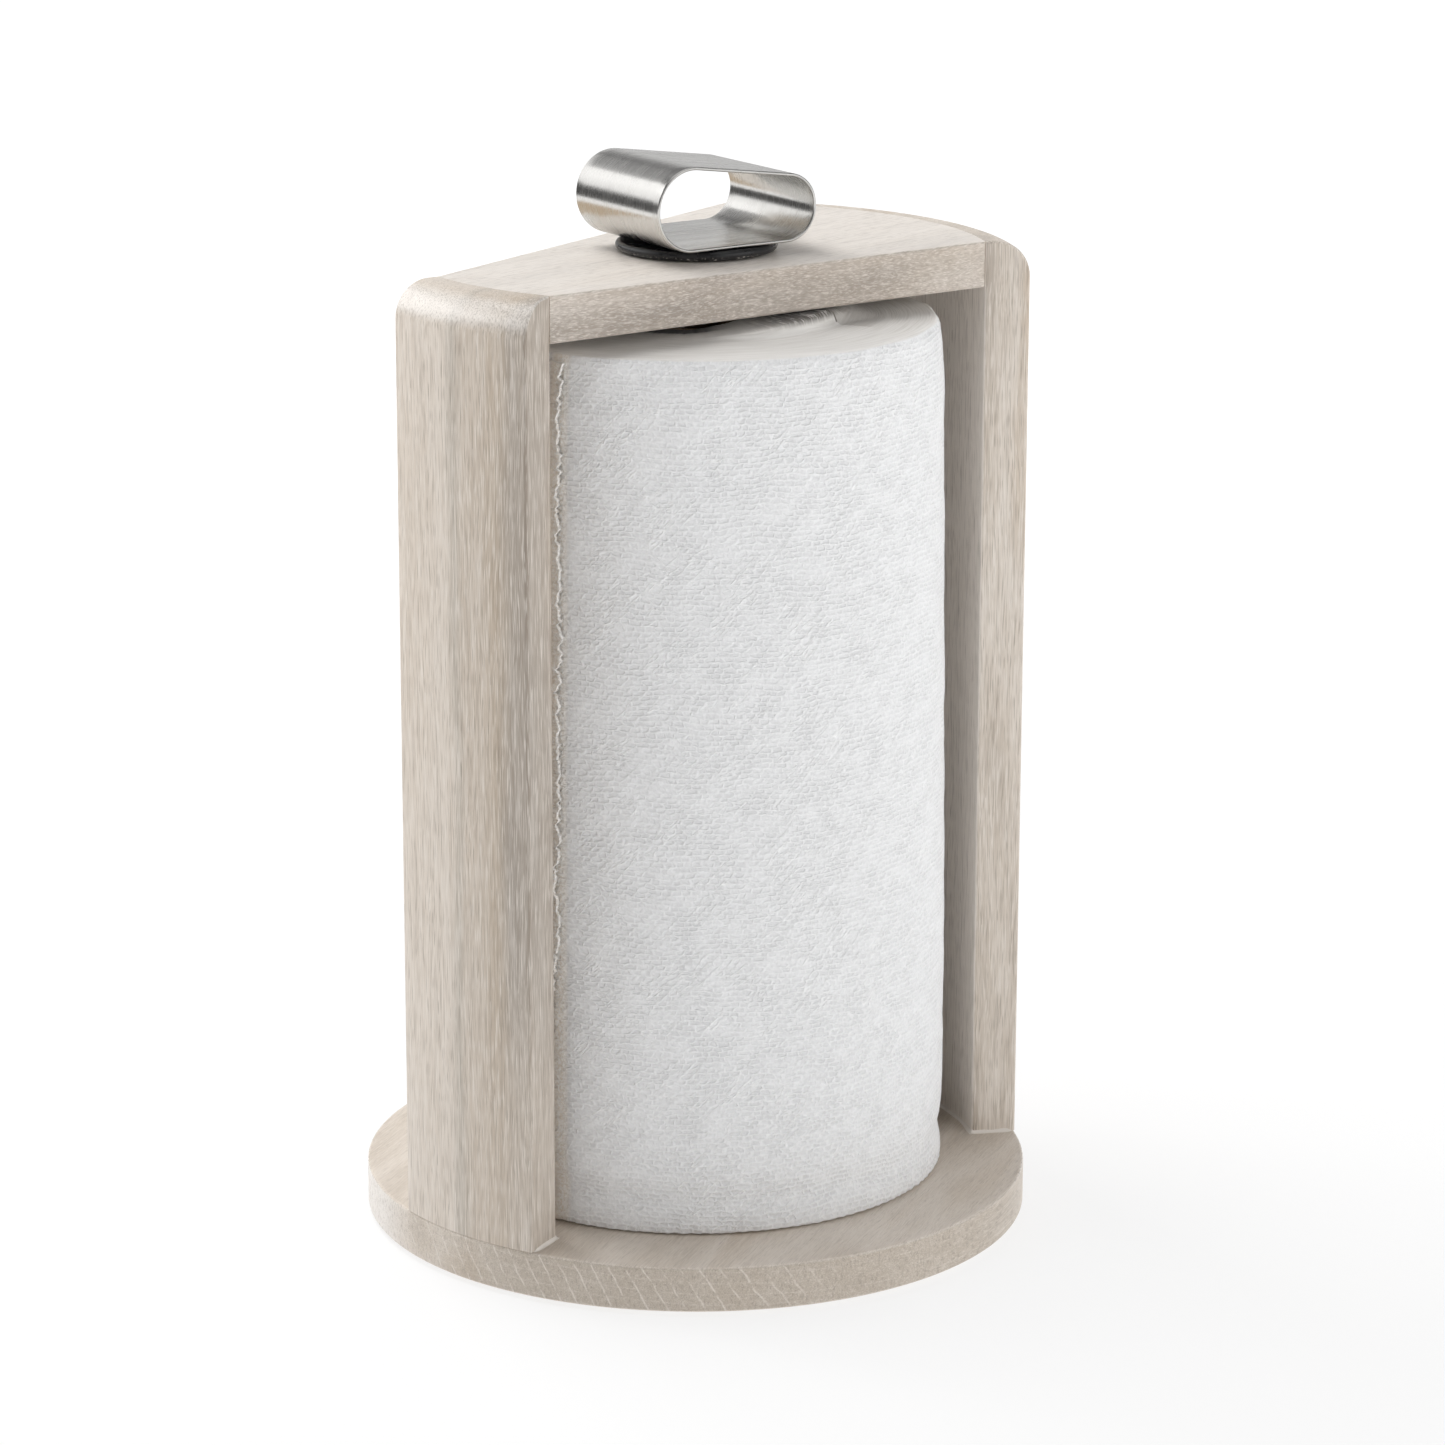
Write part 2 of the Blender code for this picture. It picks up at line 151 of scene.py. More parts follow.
# Lights: name, angle from +X, elevation, distance, side length, power in watts
LIGHTS = (
    ("right_back", 0, 15, 1.5, 0.8, 3.7),
    ("back", 30, 15, 1.5, 0.8, 2.0),
    ("left_high", 90, 45, 1.5, 0.8, 11.0),
    ("left", 120, 15, 1.5, 0.8, 6.8),
    ("top_left", 135, 72, 1.4, 0.7, 6.5),
    ("top_back", 45, 72, 1.4, 0.7, 1.6),
    ("front_left", 210, 15, 1.5, 0.8, 2.9),
    ("front_right", 270, 15, 1.5, 0.8, 4.0),
    ("right", 300, 15, 1.5, 0.8, 4.4),
    ("right_side", 330, 15, 1.5, 0.8, 2.5),
)
# Panels seen only in reflections: name, angle, elevation, distance, width and height, glow, colour
CARDS = (
    ("card_bright_left", 100, 20, 1.5, (2.2, 0.62), 1.32, WHITE),
    ("card_dark_left", 110, -3, 0.7, (1.0, 0.17), 0.05, WHITE),
    ("card_back", 43, 12, 1.6, (1.3, 0.60), 0.75, WHITE),
    ("card_front_right", 290, 20, 1.6, (1.4, 0.9), 1.0, WHITE),
    ("card_high_left", 128, 33, 1.5, (1.4, 0.36), 2.1, WHITE),
    ("card_over", 45, 86, 1.5, (1.7, 1.7), 0.75, WHITE),
    ("card_warm_left", 112, -30, 0.55, (0.9, 0.26), 0.62, WARM),
)


# Meshes


def new_mesh(name, vertices, faces):
    mesh = bpy.data.meshes.new(name)
    mesh.from_pydata([tuple(map(float, v)) for v in vertices], [], faces)
    return mesh


def face_outwards(mesh):
    work = bmesh.new()
    work.from_mesh(mesh)
    bmesh.ops.recalc_face_normals(work, faces=work.faces)
    work.to_mesh(mesh)
    work.free()


def added(name, data):
    """A new object in the scene."""
    made = bpy.data.objects.new(name, data)
    bpy.context.scene.collection.objects.link(made)
    return made


def new_piece(name, vertices, faces, surface, body, nodes=()):
    mesh = new_mesh(name, vertices, faces)
    mesh.validate()
    mesh.materials.append(surface)
    face_outwards(mesh)
    piece = added(name, mesh)
    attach(piece, body)
    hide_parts(*nodes)
    return piece


def soften(piece, angle=35):
    """Smooth shading that keeps flat faces flat and hard corners hard."""
    piece.data.shade_smooth()
    piece.data.set_sharp_from_angle(angle=math.radians(angle))
    weighted = piece.modifiers.new("Weighted normals", "WEIGHTED_NORMAL")
    weighted.keep_sharp = True


def grid(rows, columns, wrap_rows=False, wrap_columns=False):
    """Quads over a grid of vertices stored row by row."""
    faces = []
    for i in range(rows if wrap_rows else rows - 1):
        k = (i + 1) % rows
        for j in range(columns if wrap_columns else columns - 1):
            m = (j + 1) % columns
            faces.append((i * columns + j, i * columns + m, k * columns + m, k * columns + j))
    return faces


def capped_run(rows, count):
    """Quads along a run of closed sections of count vertices, with a face over each end."""
    last = (rows - 1) * count
    ends = [tuple(range(count)), tuple(range(last + count - 1, last - 1, -1))]
    return grid(rows, count, False, True) + ends


def spread(start, end, steps):
    """Evenly spaced numbers from start to end."""
    return [start + (end - start) * k / steps for k in range(steps + 1)]


def polar(radius, angle, z=0.0):
    return radius * math.cos(angle), radius * math.sin(angle), z


def turned(profile, segments, closed):
    """Vertices and faces of a revolved profile. An open profile starts and ends on the axis."""
    ring = [p for p in profile if p[0] > 1e-9]
    vertices = [polar(r, math.tau * j / segments, z) for r, z in ring for j in range(segments)]
    faces = grid(len(ring), segments, closed, True)
    if not closed:
        for row, z in ((0, profile[0][1]), (len(ring) - 1, profile[-1][1])):
            pole = len(vertices)
            vertices.append((0.0, 0.0, z))
            for j in range(segments):
                faces.append((pole, row * segments + j, row * segments + (j + 1) % segments))
    return vertices, faces


def moved(vertices, place):
    return [(x + place[0], y + place[1], z) for x, y, z in vertices]


def arc(centre, radius, start, end, steps):
    """Points of an arc between two angles in degrees."""
    turns = [math.radians(angle) for angle in spread(start, end, steps)]
    return [(centre[0] + radius * math.cos(a), centre[1] + radius * math.sin(a)) for a in turns]


def rounded_ring(inner, outer, low, high, edge, steps=4):
    """A closed ring section with all four corners rounded."""
    points = arc((outer - edge, high - edge), edge, 90, 0, steps)
    points += arc((outer - edge, low + edge), edge, 0, -90, steps)
    points += arc((inner + edge, low + edge), edge, -90, -180, steps)
    points += arc((inner + edge, high - edge), edge, 180, 90, steps)
    return points


def turned_piece(name, profile, closed, surface, body, nodes=(), segments=96, place=(0, 0), angle=35):
    vertices, faces = turned(profile, segments, closed)
    piece = new_piece(name, moved(vertices, place), faces, surface, body, nodes)
    soften(piece, angle)
    return piece


def bored(piece, cutters):
    """Cuts holes, given as (vertices, faces) solids, out of a piece."""
    for vertices, faces in cutters:
        mesh = new_mesh("cutter", vertices, faces)
        face_outwards(mesh)
        cutter = added("cutter", mesh)
        boolean = piece.modifiers.new("Hole", "BOOLEAN")
        boolean.solver = "EXACT"
        boolean.operation = "DIFFERENCE"
        boolean.object = cutter
        bpy.context.view_layer.update()
        seen = piece.evaluated_get(bpy.context.evaluated_depsgraph_get())
        old = piece.data
        piece.data = bpy.data.meshes.new_from_object(seen)
        piece.modifiers.remove(boolean)
        bpy.data.meshes.remove(old)
        bpy.data.objects.remove(cutter)
    piece.data.name = piece.name


def peg(radius, start, end, segments=40):
    """A round bar between two points, as vertices and faces."""
    start, end = Vector(start), Vector(end)
    turn = Vector((0, 0, 1)).rotation_difference(end - start).to_matrix()
    length = (end - start).length
    vertices, faces = turned([(0, 0), (radius, 0), (radius, length), (0, length)], segments, False)
    return [tuple(start + turn @ Vector(v)) for v in vertices], faces


def clamp(value):
    return min(1.0, max(0.0, value))


def smooth(share):
    return share * share * (3 - 2 * share)


def lump(x, y, z):
    return noise.noise(Vector((x, y, z)))


def ring_lump(angle, size, height):
    """Roughness that meets itself after a full turn. A larger size has finer lumps."""
    return lump(math.cos(angle) * size, math.sin(angle) * size, height)


# Materials


class Field:
    """A value, vector or colour that varies over a surface. Arithmetic on it makes the nodes for it."""

    def __init__(self, surface, socket):
        self.surface = surface
        self.socket = socket
        self.combine = surface.vector if socket.type in ("VECTOR", "RGBA") else surface.math

    def _operator(kind):
        return lambda self, other: self.combine(kind, self, other)

    __add__, __sub__, __mul__, __truediv__ = map(_operator, ("ADD", "SUBTRACT", "MULTIPLY", "DIVIDE"))

    def __abs__(self):
        return self.combine("ABSOLUTE", self, 0.0)

    def parts(self):
        made = self.surface.node("SeparateXYZ")
        self.surface.put(made.inputs[0], self)
        return [Field(self.surface, socket) for socket in made.outputs]

    def fade(self, start, end):
        """0 at start and 1 at end, with a smooth way between them."""
        inputs = {"Value": self, "From Min": start, "From Max": end}
        return self.surface.made("MapRange", inputs, "Result", interpolation_type="SMOOTHSTEP")

    def scaled(self, low, high, start=0.0, end=1.0):
        """low at start and high at end, in a straight line."""
        inputs = {"Value": self, "From Min": start, "From Max": end, "To Min": low, "To Max": high}
        return self.surface.made("MapRange", inputs, "Result")

    def stretched(self, x, y, z):
        """The vector in cells of x by y by z metres."""
        return self * (1 / x, 1 / y, 1 / z)

    def noise(self, cell, detail=2.0, roughness=0.5, colour=False):
        """Noise in cells of this size, which is one number or three."""
        cell = cell if isinstance(cell, tuple) else (cell,) * 3
        inputs = {"Vector": self.stretched(*cell), "Scale": 1.0, "Detail": detail, "Roughness": roughness}
        return self.surface.made("TexNoise", inputs, "Color" if colour else "Fac")

    def flecks(self, cell):
        """Distance to the nearest fleck's middle, and that fleck's own random shade."""
        made = self.surface.node("TexVoronoi")
        self.surface.put(made.inputs["Vector"], self.stretched(*cell))
        made.inputs["Scale"].default_value = 1.0
        distance, colour = (Field(self.surface, made.outputs[name]) for name in ("Distance", "Color"))
        return distance, colour.parts()[0]


class Surface:
    """A node material, with short calls for the nodes that it is made of."""

    def __init__(self, name):
        self.material = bpy.data.materials.new(name)
        self.material.use_nodes = True
        self.tree = self.material.node_tree
        self.shader = self.tree.nodes["Principled BSDF"]

    def node(self, kind, **settings):
        made = self.tree.nodes.new("ShaderNode" + kind)
        for key, value in settings.items():
            setattr(made, key, value)
        return made

    def put(self, socket, value):
        if isinstance(value, Field):
            self.tree.links.new(value.socket, socket)
        else:
            socket.default_value = value

    def made(self, kind, inputs, output=0, **settings):
        """A new node's output. inputs gives values or fields by the names or numbers of its sockets."""
        node = self.node(kind, **settings)
        for key, value in inputs.items():
            self.put(node.inputs[key], value)
        return Field(self, node.outputs[output])

    def math(self, operation, a, b=0.0):
        return self.made("Math", {0: a, 1: b}, operation=operation)

    def vector(self, operation, a, b):
        output = "Value" if operation == "DOT_PRODUCT" else "Vector"
        return self.made("VectorMath", {0: a, 1: b}, output, operation=operation)

    def position(self):
        return self.made("TexCoord", {}, "Object")

    def turned_position(self, rotation, offset=(0, 0, 0)):
        return self.made("Mapping", {"Vector": self.position(), "Rotation": rotation, "Location": offset})

    def normal(self):
        return self.made("NewGeometry", {}, "Normal")

    def facing(self, way):
        """How squarely the surface faces along a direction, from -1 to 1."""
        return self.vector("DOT_PRODUCT", self.normal(), way)

    def joined(self, x, y, z):
        return self.made("CombineXYZ", {0: x, 1: y, 2: z})

    def from_axis(self, x, y):
        return self.math("SQRT", x * x + y * y)

    def ramp(self, value, stops):
        made = self.node("ValToRGB")
        self.put(made.inputs[0], value)
        elements = made.color_ramp.elements
        for _ in range(len(stops) - 2):
            elements.new(0.5)
        for element, (place, colour) in zip(elements, stops):
            element.position = place
            element.color = (*colour, 1.0)
        return Field(self, made.outputs["Color"])

    def mix(self, factor, a, b, blend="MIX"):
        """Colour a where the factor is 0, and b where it is 1."""
        a, b = (value if isinstance(value, Field) else (*value, 1.0) for value in (a, b))
        return self.made("Mix", {0: factor, 6: a, 7: b}, 2, data_type="RGBA", blend_type=blend)

    def bump(self, height, distance, strength):
        return self.made("Bump", {"Height": height, "Distance": distance, "Strength": strength})

    def finish(self, colour, roughness, normal=None, **others):
        """Sets the shader's sockets. The others are named as the sockets are, with _ for each space."""
        self.put(self.shader.inputs["Base Color"], colour)
        self.put(self.shader.inputs["Roughness"], roughness)
        if normal:
            self.put(self.shader.inputs["Normal"], normal)
        for key, value in others.items():
            self.put(self.shader.inputs[key.replace("_", " ")], value)
        return self.material


PALE = (0.70, 0.629, 0.553)
MIDDLE = (0.60, 0.525, 0.446)
OCHRE = (0.56, 0.462, 0.362)
GREY = (0.46, 0.405, 0.350)
LIME = (0.82, 0.764, 0.700)
PORE = (0.30, 0.249, 0.203)
SHADE = (0.40, 0.352, 0.304)
DEEP_OCHRE = (0.51, 0.425, 0.335)
GREYISH = (0.51, 0.462, 0.402)
# Colours across the narrow upright, from its cut face that faces -Y: place in metres, colour
NARROW_BANDS = ((0, 1, 0), [(-0.0250, SHADE), (-0.0205, SHADE), (-0.0160, DEEP_OCHRE), (-0.0090, MIDDLE),
                            (-0.0040, MIDDLE), (-0.0012, GREYISH), (0.0020, PALE), (0.025, PALE)])


def limed_wood(name, turn, offset=(0, 0, 0), bands=None, across=0.018, figure=1.0, strand=1.0, touches=()):
    """Limed hardwood. turn brings the grain to the local X axis, bands are colours across the piece, figure is
    the grain's contrast, strand its fibres' length, and touches are functions that change the tone."""
    s = Surface(name)
    local = s.turned_position(turn, offset)
    drift = local.noise((0.05, 0.011, 0.011), 1.0, colour=True) - (0.5, 0.5, 0.5)
    warped = local + drift * (0.0, 0.0026, 0.0026)

    broad = warped.noise((0.16, across, across), 2.0, 0.55)
    if bands:
        way, stops = bands
        place = s.vector("DOT_PRODUCT", s.position(), way) + (broad - 0.5) * 0.012
        low, high = stops[0][0], stops[-1][0]
        tone = s.ramp(place.scaled(0, 1, low, high), [((p - low) / (high - low), c) for p, c in stops])
        tone = s.mix(broad.scaled(0.0, 0.35, 0.35, 0.7), tone, OCHRE)
    else:
        tone = s.ramp(broad, [(0.30, GREY), (0.44, MIDDLE), (0.56, PALE), (0.72, OCHRE)])
    for touch in touches:
        tone = touch(s, tone)

    fibre = warped.noise((0.026, 0.0012, 0.0012), 2.0, 0.6)
    fine = warped.noise((0.0065 * strand, 0.00034, 0.00034), 2.0, 0.6)
    for grain, start, end, amount, colour in ((fibre, 0.48, 0.68, 0.26, LIME), (fibre, 0.46, 0.28, 0.26, PORE),
                                              (fine, 0.50, 0.68, 0.58, LIME), (fine, 0.48, 0.30, 0.50, PORE)):
        tone = s.mix(grain.fade(start, end), tone, s.mix(amount * figure, tone, colour))

    distance, shade = warped.flecks((0.0040 * strand, 0.00034, 0.00034))
    mark = distance.fade(0.46, 0.22)
    patch = warped.noise((0.06, 0.014, 0.014)).fade(0.40, 0.60)
    white = mark * shade.fade(0.64, 0.72) * patch.scaled(0.20 * figure, 0.55 * figure)
    dark = mark * shade.fade(0.30, 0.20) * patch.scaled(0.50 * figure, 0.20 * figure)
    tone = s.mix(dark, s.mix(white, tone, LIME), PORE)

    up = s.normal().parts()[2]
    rounded = up.fade(0.10, 0.35) * up.fade(0.96, 0.80)
    normal = s.bump((fine * 0.6 - mark * 0.5) * rounded.scaled(1.0, 0.45), 0.00011, 0.8)
    rough = fine.scaled(0.34, 0.52, 0.3, 0.7) - rounded * 0.15
    return s.finish(tone, rough, normal, Specular_IOR_Level=0.5, Coat_Weight=rounded * 0.7,
                    Coat_Roughness=0.28, Coat_IOR=1.87)


def painted_corner_shadow(s, tone):
    """A fine painted shadow line down the narrow upright's corner, stronger towards the top, and a lighter
    foot.
    """
    x, y, z = s.position().parts()
    run = abs(y + (math.sin(NARROW_HALF_ANGLE) * BASE_RADIUS - 0.0005))
    line = run.fade(0.00055, 0.00015) * x.fade(-0.0905, -0.0915) * z.fade(0.05, 0.20).scaled(0.25, 0.85)
    low = z.fade(0.110, 0.045) * y.fade(-0.010, -0.020)
    return s.mix(line, s.mix(low * 0.75, tone, MIDDLE), PORE)


def painted_shoulder_highlight(s, tone):
    """Painted highlight: the round shoulder, sanded smoother in limed_wood's roughness, is painted paler than
    the faces beside it.
    """
    up = s.normal().parts()[2]
    rounded = up.fade(0.10, 0.40) * up.fade(0.97, 0.75)
    return s.mix(rounded * 0.5, tone, (0.83, 0.80, 0.765))


def painted_light_inside(s, tone):
    """Painted light: the hollow inner face is painted paler than the rest, standing in for light that barely
    reaches it.
    """
    x, y, _ = s.position().parts()
    return s.mix(s.facing(s.joined(x, y, 0.0)).fade(-0.03, -0.07), tone, (0.90, 0.835, 0.765))


def painted_shade_sides_light_top(s, tone):
    """Painted shade and light: the plank's long edges are darker and greyer than its top, most on their lower
    half and towards the narrow end, and its top is painted paler.
    """
    x, _, z = s.position().parts()
    wide_end = x.fade(-0.01, 0.05)
    low = s.mix(wide_end, (0.66, 0.655, 0.66), (0.80, 0.79, 0.785))
    high = s.mix(wide_end, (0.84, 0.83, 0.83), (0.90, 0.89, 0.88))
    shade = s.mix(z.fade(BOARD_MIDDLE - 0.002, BOARD_MIDDLE + 0.006), low, high)
    darker = s.mix(1.0, tone, shade, "MULTIPLY")
    paler = s.mix(abs(s.facing((0, 0, 1))).fade(0.6, 0.9) * 0.62, tone, (0.86, 0.82, 0.775))
    return s.mix(abs(s.facing((0, 1, 0))).fade(0.5, 0.8), paler, darker)


def end_grain_and_rim_shading(s, tone):
    """Painted shade and light: the rim is darker and greyer on its shaded side, paler on its lit side. Leaning
    pale rays where it cuts across the grain, and level growth lines.
    """
    where = s.turned_position((0, 0, -GRAIN_OF_BASE))
    wobble = where.noise((0.05, 0.02, 0.006), colour=True)
    _, y, z = (where + wobble * (0, 0.0026, 0.0018)).parts()
    ray_line = s.math("PINGPONG", y + z * 0.55, 0.0025).fade(0.00042, 0.0001)
    ring_line = s.math("PINGPONG", z + y * 0.05, 0.0016).fade(0.00034, 0.00005)
    end = abs(s.facing((math.cos(GRAIN_OF_BASE), math.sin(GRAIN_OF_BASE), 0))).fade(0.62, 0.90)
    front = s.facing((math.cos(RIM_SHADE_FACING), math.sin(RIM_SHADE_FACING), 0.0))
    rim = abs(s.facing((0, 0, 1))).fade(0.7, 0.3)
    lines = s.math("MAXIMUM", ray_line * end, ring_line * (rim * 0.32))
    lines = lines * where.noise((0.03, 0.006, 0.003), 3.0).fade(0.36, 0.56)
    pores = where.noise((0.003, 0.00045, 0.0016), 2.0, 0.6)
    # Painted shade on the rim's side facing away from the lights, then painted light on the side facing them
    tone = s.mix(rim * front.fade(0.30, 0.75).scaled(0.0, 0.75), tone, (0.465, 0.402, 0.332))
    tone = s.mix(rim * front.fade(0.38, 0.10).scaled(0.0, 0.7), tone, (0.88, 0.85, 0.82))
    tone = s.mix(pores.fade(0.52, 0.68) * (rim * 0.45), tone, PORE)
    return s.mix(lines * 0.62, tone, LIME)


def lime_filler(name):
    """The line of pale finish that gathers in the corner at the uprights' feet."""
    s = Surface(name)
    cloud = s.position().noise(0.003)
    colour = s.mix(cloud, (0.68, 0.63, 0.57), (0.86, 0.81, 0.75))
    return s.finish(colour, cloud.scaled(0.35, 0.5), s.bump(s.position().noise(0.0005), 0.00005, 0.5))


def brushed_steel(name, along_uv=True):
    """Steel with fine brush lines. On the handle they run round the loop, by its UV map in metres."""
    s = Surface(name)
    if along_uv:
        where, line, cloud = s.made("UVMap", {}), (0.00022, 0.016, 1.0), (0.004, 0.03, 1.0)
    else:
        where, line, cloud = s.position(), (0.004, 0.004, 0.00025), (0.02, 0.02, 0.01)
    lines = where.noise(line, 2.0, 0.6)
    dark, light = (tuple(c * share for c in STEEL) for share in (0.975, 1.02))
    tint = s.mix(lines.fade(0.35, 0.65), dark, light)
    rough = lines.scaled(0.22, 0.28, 0.3, 0.7) + where.noise(cloud).scaled(-0.02, 0.04, 0.3, 0.7)
    material = s.finish(tint, rough, s.bump(lines, 0.00001, 0.06), Metallic=1.0)
    if along_uv:
        s.put(s.shader.inputs["Tangent"], s.made("Tangent", {}, direction_type="UV_MAP"))
        s.shader.inputs["Anisotropic"].default_value = 0.72
    return material


def zinc_steel(name):
    s = Surface(name)
    spangle = s.position().noise(0.0012, 3.0)
    colour = s.mix(spangle.fade(0.35, 0.65), (0.46, 0.47, 0.48), (0.62, 0.63, 0.64))
    return s.finish(colour, spangle.scaled(0.30, 0.48, 0.3, 0.7), s.bump(spangle, 0.00003, 0.4), Metallic=1.0)


def black_rubber(name, dusty_below=None):
    """Rubber with a soft bloom. dusty_below is a height under which pale specks cling to it."""
    s = Surface(name)
    where = s.position()
    bloom = where.noise((0.006, 0.006, 0.003))
    colour = s.mix(bloom.fade(0.4, 0.7), (0.011, 0.011, 0.012), (0.022, 0.022, 0.023))
    if dusty_below:
        specks = where.noise((0.0007, 0.0007, 0.0005), 1.0).fade(0.60, 0.68)
        area = where.noise(0.010, 1.0).fade(0.36, 0.5)
        low = where.parts()[2].fade(dusty_below, dusty_below - 0.0006)
        colour = s.mix(specks * area * low, colour, (0.45, 0.43, 0.40))
    return s.finish(colour, bloom.scaled(0.24, 0.34, 0.3, 0.7), s.bump(where.noise(0.0006, 3.0), 0.00004, 0.4))


def nylon(name):
    s = Surface(name)
    cloud = s.position().noise(0.004)
    colour = s.mix(cloud, (0.70, 0.69, 0.65), (0.78, 0.77, 0.73))
    normal = s.bump(s.position().noise(0.0005), 0.00002, 0.4)
    return s.finish(colour, cloud.scaled(0.38, 0.50), normal, Subsurface_Weight=0.08, Subsurface_Scale=0.002)


def core_card(name):
    """Kraft board, wound at a slant, so that a dark seam climbs round it."""
    s = Surface(name)
    x, y, z = s.position().parts()
    climb = s.math("FRACT", s.math("ARCTAN2", y, x) / math.tau + z / CARD_SEAM_PITCH)
    seam = abs(climb - 0.5).fade(0.006, 0.002)
    fibre = s.position().noise((0.0012, 0.0012, 0.0005), 4.0, 0.6)
    browns = [(0.3, (0.22, 0.155, 0.105)), (0.55, (0.33, 0.245, 0.17)), (0.75, (0.42, 0.325, 0.235))]
    colour = s.ramp(fibre, browns)
    colour = s.mix(seam * 0.6, colour, (0.16, 0.10, 0.06))
    return s.finish(colour, 0.85, s.bump(fibre - seam, 0.00008, 0.6))


def pressed_dashes(s, where, turn, z):
    """Staggered rows of small dashes that sway a little, pressed harder in some places than in others."""
    sway = where.noise((0.030, 0.030, 0.022), colour=True).parts()
    shake = where.noise((0.0026, 0.0026, 0.0022), 1.0, colour=True).parts()
    row = z / EMBOSS_PITCH_UP + sway[1] * 3.4 + shake[1] * 0.9
    stagger = s.math("FLOORED_MODULO", s.math("FLOOR", row), 2.0) * 0.5
    column = turn * (EMBOSS_AROUND / math.tau) + sway[0] * 2.2 + shake[0] * 1.1
    wide = abs(s.math("FRACT", column + stagger) - 0.5).fade(0.46, 0.30)
    tall = abs(s.math("FRACT", row) - 0.5).fade(0.46, 0.16)
    return wide * tall * where.noise((0.007, 0.007, 0.005)).scaled(0.45, 1.0, 0.38, 0.62)


def towel_paper(name, top):
    """Two-ply towel: pressed dashes and creases round the roll, and its layers' cut edges on the ends."""
    s = Surface(name)
    where = s.position()
    x, y, z = where.parts()
    turn = s.math("ARCTAN2", y, x)
    radius = s.from_axis(x, y)
    past_edge = turn - (FREE_EDGE - math.tau)
    past_notch = turn - (NOTCH - math.tau)

    dash_and_shade = pressed_dashes(s, where, turn, z)
    fuzz = where.noise(0.0007, 3.0, 0.7)
    twisted = s.made("VectorRotate", {"Vector": where, "Angle": z * -RIDGE_TWIST}, rotation_type="Z_AXIS")
    crease = twisted.noise((0.006, 0.006, 0.05))
    fold = twisted.noise((0.0042, 0.0042, 0.012), 2.0, 0.6)
    crinkle_and_highlight = abs(fold - 0.5).fade(0.030, 0.0) * where.noise((0.012, 0.012, 0.010), 1.0).fade(0.44, 0.62)
    # Painted shade in the pressed dashes; the same dashes are also pressed into the bump
    side = s.mix(dash_and_shade * 0.62, (0.868, 0.870, 0.874), (0.735, 0.736, 0.742))
    side = s.mix(fuzz.fade(0.56, 0.36), side, s.mix(0.16, side, (0.45, 0.45, 0.46)))
    # Painted highlight along the crinkles' folds
    side = s.mix(crinkle_and_highlight * 0.6, side, (0.95, 0.95, 0.95))
    # Painted warm bounce light and shade on the paper beside the narrow upright, near the free edge
    side = s.mix(past_edge.fade(0.040, -0.006) * past_edge.fade(-0.085, -0.030), side, (0.86, 0.80, 0.72))
    # Painted highlight on the frayed torn edge
    fray_highlight = past_edge.fade(-0.045, -0.015) * past_edge.fade(0.030, 0.012) * fuzz.fade(0.42, 0.55)
    side = s.mix(fray_highlight, side, (0.97, 0.95, 0.92))

    layer = s.joined(turn * 3.0, radius / 0.0006, z / 0.004).noise(1, 3.0, 0.6)
    bend = turn * 60.0 + radius / 0.010 * 1.5
    hair = s.joined(bend, radius / 0.007, z / 0.006).noise(1, 3.0, 0.65)
    inner = radius.fade(0.0535, 0.0500)
    loose = z.fade(top + 0.0010, top + 0.0036) * inner
    edges = s.ramp(layer, [(0.3, (0.68, 0.655, 0.62)), (0.5, (0.77, 0.75, 0.72)), (0.7, (0.83, 0.81, 0.78))])
    # Painted shade between the loose inner layers' strands, darkest towards their top under the board
    shades = [(0.38, (0.22, 0.195, 0.17)), (0.5, (0.50, 0.47, 0.43)), (0.64, (0.80, 0.78, 0.75))]
    shaded_strands = s.ramp(hair, shades)
    deep_shade = z.fade(top + 0.0007, top + 0.0028) * hair.fade(0.68, 0.50)
    edges = s.mix(loose, edges, s.mix(deep_shade * 0.9, shaded_strands, (0.09, 0.08, 0.07)))
    # Painted shadow in the hollow round the core
    sunk_shadow = radius.fade(0.0325, 0.0285) * z.fade(top + 0.0012, top - 0.0004)
    edges = s.mix(sunk_shadow, edges, (0.06, 0.055, 0.05))
    # Painted shadow line at the notch where the loose layers stop
    slit_shadow = (abs(past_notch) * radius).fade(0.00070, 0.00025) * z.fade(top + 0.0002, top + 0.0006)
    edges = s.mix(slit_shadow * inner, edges, (0.16, 0.14, 0.12))
    shaded = past_notch.fade(0.0, 0.01) * past_notch.fade(0.75, 0.10) * inner
    edges = s.mix(shaded * 0.45, edges, (0.36, 0.335, 0.305))

    on_end = s.math("MAXIMUM", abs(s.facing((0, 0, 1))).fade(0.55, 0.85), inner)
    side_height = dash_and_shade * -0.75 + fuzz * 0.5 + crease * 2.3 + crinkle_and_highlight * 0.5
    end_height = layer * 0.7 + hair * loose * 2.0
    height = s.made("Mix", {0: on_end, 2: side_height, 3: end_height}, data_type="FLOAT")
    return s.finish(s.mix(on_end, side, edges), 0.92, s.bump(height, 0.0004, 0.75), Specular_IOR_Level=0.25,
                    Sheen_Weight=0.15, Sheen_Roughness=0.5)


def dowel_wood(name):
    s = Surface(name)
    grain = s.position().noise((0.008, 0.0006, 0.0006), 3.0)
    colour = s.mix(grain, (0.60, 0.43, 0.26), (0.74, 0.57, 0.38))
    return s.finish(colour, 0.7, s.bump(grain, 0.0001, 0.5))


def glowing(name, glow, colour=WHITE, albedo=0.0, roughness=1.0, specular=0.5):
    """A surface that gives off light. glow is a number, or a function of the surface."""
    s = Surface(name)
    glow = glow(s) if callable(glow) else glow
    return s.finish((albedo, albedo, albedo, 1.0), roughness, Specular_IOR_Level=specular,
                    Emission_Color=(*colour, 1.0), Emission_Strength=glow)


